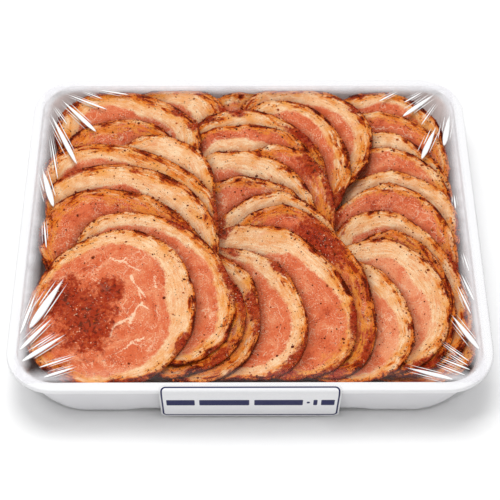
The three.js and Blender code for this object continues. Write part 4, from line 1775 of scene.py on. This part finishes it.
@dataclass(frozen=True)
class StickerFinish:
    """Pale coated paper with a dark blue rounded border and plain bars in place of words.

    Each bar has its middle along X, its half width and its half height.
    """

    paper: Colour = (240, 240, 241)
    fibres: Colour = (231, 231, 234)
    ink: Colour = (20, 24, 80)
    margin: float = 1.0
    line: float = 0.8
    bar_y: float = 0.5
    bar_corner: float = 0.85
    bars: tuple[tuple[float, float, float], ...] = (
        (-41.3, 8.4, 4.8), (-15.4, 14.8, 4.8), (16.8, 14.4, 4.8),
        (34.4, 0.9, 1.6), (38.6, 1.2, 4.8), (46.0, 4.0, 4.8),
    )

    @staticmethod
    def box(x: Value, y: Value, half: tuple[float, float], corner: float) -> Value:
        """Distance from a rounded box: positive outside, negative inside.

        Args:
            x: distance along X from the box's middle.
            y: distance along Y from the box's middle.
            half: the box's half sizes.
            corner: its corner radius.

        Returns:
            The distance in millimetres.
        """
        over_x = abs(x) - (half[0] - corner)
        over_y = abs(y) - (half[1] - corner)
        out_x = over_x.high(0.0)
        out_y = over_y.high(0.0)
        squares = out_x * out_x + out_y * out_y
        return squares.math("SQRT", squares) + over_x.high(over_y).low(0.0) - corner

    def material(self, width: float, length: float, corner: float) -> bpy.types.Material:
        """Builds the material.

        Args:
            width: the sticker's width.
            length: its length from the rim down.
            corner: its corner radius.

        Returns:
            The material.
        """
        graph = Graph("sticker_paper")
        split = graph.node("ShaderNodeSeparateXYZ", {}, {0: graph.plan()})
        x = Value(graph, split.outputs[0])
        y = Value(graph, split.outputs[1])
        edge = self.box(x, y, (width / 2 - self.margin, length / 2 - self.margin), corner)
        ink = abs(edge + self.line / 2).step(self.line * 0.75, self.line * 0.5)
        for middle, half_width, half_height in self.bars:
            bar = self.box(x - middle, y - self.bar_y, (half_width, half_height), self.bar_corner)
            ink = ink.high(bar.step(0.15, -0.15))
        fibre = graph.noise(graph.plan(), 1.5, 3.0)
        bare = graph.blend(fibre + 0.5, self.paper, self.fibres)
        return graph.finish("ShaderNodeBsdfPrincipled", {
            "Base Color": graph.blend(ink, bare, self.ink),
            "Roughness": 0.55 + fibre * 0.2 - ink * 0.1,
            "Normal": graph.bump(fibre, 0.03),
            "Specular IOR Level": 0.12,
        })


@dataclass
class Sticker:
    """The sticker over the front rim: a paper strip bent over the lip and down the drawn film."""

    width: float = 107.0
    thickness: float = 0.2
    corner: float = 3.0
    on_rim: float = 3.2
    bottom_z: float = 1.4
    finish: StickerFinish = StickerFinish()
    across: int = 49
    stations: int = 45

    def path(self) -> Array:
        """The strip's side view: stations of y and z from the rim's top down the film."""
        front = -PLAN.half_y
        off = GAP + 0.15 + 0.25
        foot = front + BASE_INSET - 1 - off
        knee_z = RIM_Z - LIP_DROP + 0.5
        path = rounded(np.array([
            (front + self.on_rim, RIM_Z + off),
            (front + 1.4, RIM_Z + off),
            (front - off, RIM_Z + off - 0.3),
            (front - off, RIM_Z - 1.6),
            (front - off, knee_z),
            (front - off + 1.2, knee_z - 4.0),
            (foot - 1.5, 5.0),
            (foot - 1.6, self.bottom_z),
        ]), 3)
        gaps = np.linalg.norm(np.diff(path, axis=0), axis=1)
        run = np.concatenate([[0], np.cumsum(gaps)])
        near_ends = [1.0, 2.0, run[-1] - 1.0, run[-1] - 2.0]
        even = np.unique(np.concatenate([np.linspace(0, run[-1], self.stations), near_ends]))
        return np.stack([np.interp(even, run, path[:, 0]), np.interp(even, run, path[:, 1]), even], -1)

    def surface(self) -> tuple[Surface, float]:
        """The strip as closed rings round its width, narrower at its rounded ends.

        Returns:
            The surface and the strip's length.
        """
        path = self.path()
        length = float(path[-1, 2])
        slope = np.gradient(path[:, :2], axis=0)
        outward = np.stack([slope[:, 1], -slope[:, 0]], -1)
        outward = outward / np.linalg.norm(outward, axis=1, keepdims=True)
        near = np.minimum(path[:, 2], length - path[:, 2])
        cut = self.corner - np.minimum(near, self.corner)
        half = self.width / 2 - self.corner + np.sqrt(self.corner ** 2 - cut ** 2)
        x = half[:, None] * np.linspace(-1, 1, self.across)
        x = np.concatenate([x, x[:, ::-1]], 1)
        lift = np.concatenate([np.zeros(self.across), np.full(self.across, self.thickness)])
        y = path[:, 0:1] + outward[:, 0:1] * lift
        z = path[:, 1:2] + outward[:, 1:2] * lift
        rings = np.stack([x, y, z], -1)
        result = closed_loft(rings)
        along = length / 2 - path[:, 2]
        middle = np.broadcast_to(along[:, None], x.shape)
        flat = np.concatenate([[[0, along[0]]], np.stack([x, middle], -1).reshape(-1, 2), [[0, along[-1]]]])
        result.plan = flat
        return result, length

    def build(self) -> None:
        """Makes the sticker."""
        surface, length = self.surface()
        material = self.finish.material(self.width, length, self.corner)
        surface.piece("rim_sticker", material, Slot.STICKER, "label")


# ---- studio ----------------------------------------------------------------------------------


@dataclass
class Studio:
    """A plain white floor, a soft light overhead, a small light that glints, and the camera.

    The camera's target, distance, lens and sensor are in millimetres, other sizes in metres.
    """

    elevation: float = 50.0
    yaw: float = 0.54
    roll: float = 0.34
    distance: float = 1003.4
    lens: float = 115.3
    target: tuple[float, float, float] = (0.3, -22.9, 38.7)
    sensor: float = 36.0
    clip: tuple[float, float] = (0.05, 20.0)
    world_strength: float = 0.61
    floor_reach: float = 4.0
    floor_light: Colour = (252, 252, 252)
    floor_dark: Colour = (250, 250, 250)

    def camera(self) -> None:
        """Puts the camera where it looks at the target along the given angles."""
        pitch, yaw, roll = (math.radians(turn) for turn in (self.elevation, self.yaw, self.roll))
        ahead = Vector((math.sin(yaw) * math.cos(pitch), math.cos(yaw) * math.cos(pitch), -math.sin(pitch)))
        level = Vector((math.cos(yaw), -math.sin(yaw), 0.0))
        above = level.cross(ahead)
        right = level * math.cos(roll) + above * math.sin(roll)
        up = above * math.cos(roll) - level * math.sin(roll)
        data = bpy.data.cameras.new("camera")
        data.sensor_width = self.sensor
        data.lens = self.lens
        data.clip_start, data.clip_end = self.clip
        camera = bpy.data.objects.new("camera", data)
        bpy.context.scene.collection.objects.link(camera)
        facing = Matrix((right, up, -ahead)).transposed().to_4x4()
        place = Matrix.Translation((Vector(self.target) - ahead * self.distance) * MM)
        camera.matrix_world = place @ facing
        bpy.context.scene.camera = camera

    def floor(self) -> None:
        """Lays a plain white floor."""
        graph = Graph("studio_floor")
        place = graph.place()
        clouds = graph.noise(place, 400.0, 2.0)
        material = graph.finish("ShaderNodeBsdfPrincipled", {
            "Base Color": graph.blend(clouds + 0.5, self.floor_light, self.floor_dark),
            "Roughness": 0.9,
            "Specular IOR Level": 0.0,
        })
        mesh = bpy.data.meshes.new("floor")
        reach = self.floor_reach
        corners = [(-reach, -reach, 0), (reach, -reach, 0), (reach, reach, 0), (-reach, reach, 0)]
        mesh.from_pydata(corners, [], [[0, 1, 2, 3]])
        mesh.materials.append(material)
        floor = bpy.data.objects.new("floor", mesh)
        bpy.context.scene.collection.objects.link(floor)

    def light(
        self, name: str, place: tuple[float, float, float], size: float, power: float, glints: bool
    ) -> None:
        """Hangs a square soft light that faces the pack.

        Args:
            name: its name.
            place: where it is, in metres.
            size: its side, in metres.
            power: its power, in watts.
            glints: whether shiny things mirror it.
        """
        data = bpy.data.lights.new(name, "AREA")
        data.shape = "SQUARE"
        data.size = size
        data.energy = power
        lamp = bpy.data.objects.new(name, data)
        bpy.context.scene.collection.objects.link(lamp)
        lamp.visible_glossy = glints
        lamp.location = place
        lamp.rotation_mode = "QUATERNION"
        lamp.rotation_quaternion = (-Vector(place)).to_track_quat("-Z", "Y")

    def build(self) -> None:
        """Sets up the studio."""
        world = bpy.data.worlds.new("studio")
        world.use_nodes = True
        background = world.node_tree.nodes["Background"]
        background.inputs["Color"].default_value = (1.0, 1.0, 1.0, 1.0)
        background.inputs["Strength"].default_value = self.world_strength
        world.cycles_visibility.glossy = False
        bpy.context.scene.world = world
        bpy.context.scene.view_settings.view_transform = "Standard"
        self.light("overhead", place=(-0.1, 0.12, 1.5), size=0.7, power=12.0, glints=False)
        self.light("glint", place=(-0.5, -0.35, 1.3), size=0.22, power=1.6, glints=True)
        self.floor()
        self.camera()


def main() -> None:
    """Builds the studio and the pack, piece by piece."""
    logging.basicConfig(level=logging.INFO, format="%(message)s")
    Studio().build()
    Tray().build()
    slices = SliceHeap()
    slices.build()
    pepper = SpiceFinish("ground_pepper", dark=(36, 10, 4), light=(96, 34, 10))
    crumbs = SpiceFinish("crust_crumbs", dark=(100, 22, 4), light=(206, 96, 20))
    Grains("pepper", pepper, count=2600, size=(0.2, 0.5), edge_pull=8.0, seed=11).build(slices)
    Grains("crumbs", crumbs, count=4200, size=(0.35, 1.1), edge_pull=1.8, seed=23).build(slices)
    Film().build()
    Sticker().build()


if __name__ == "__main__":
    main()
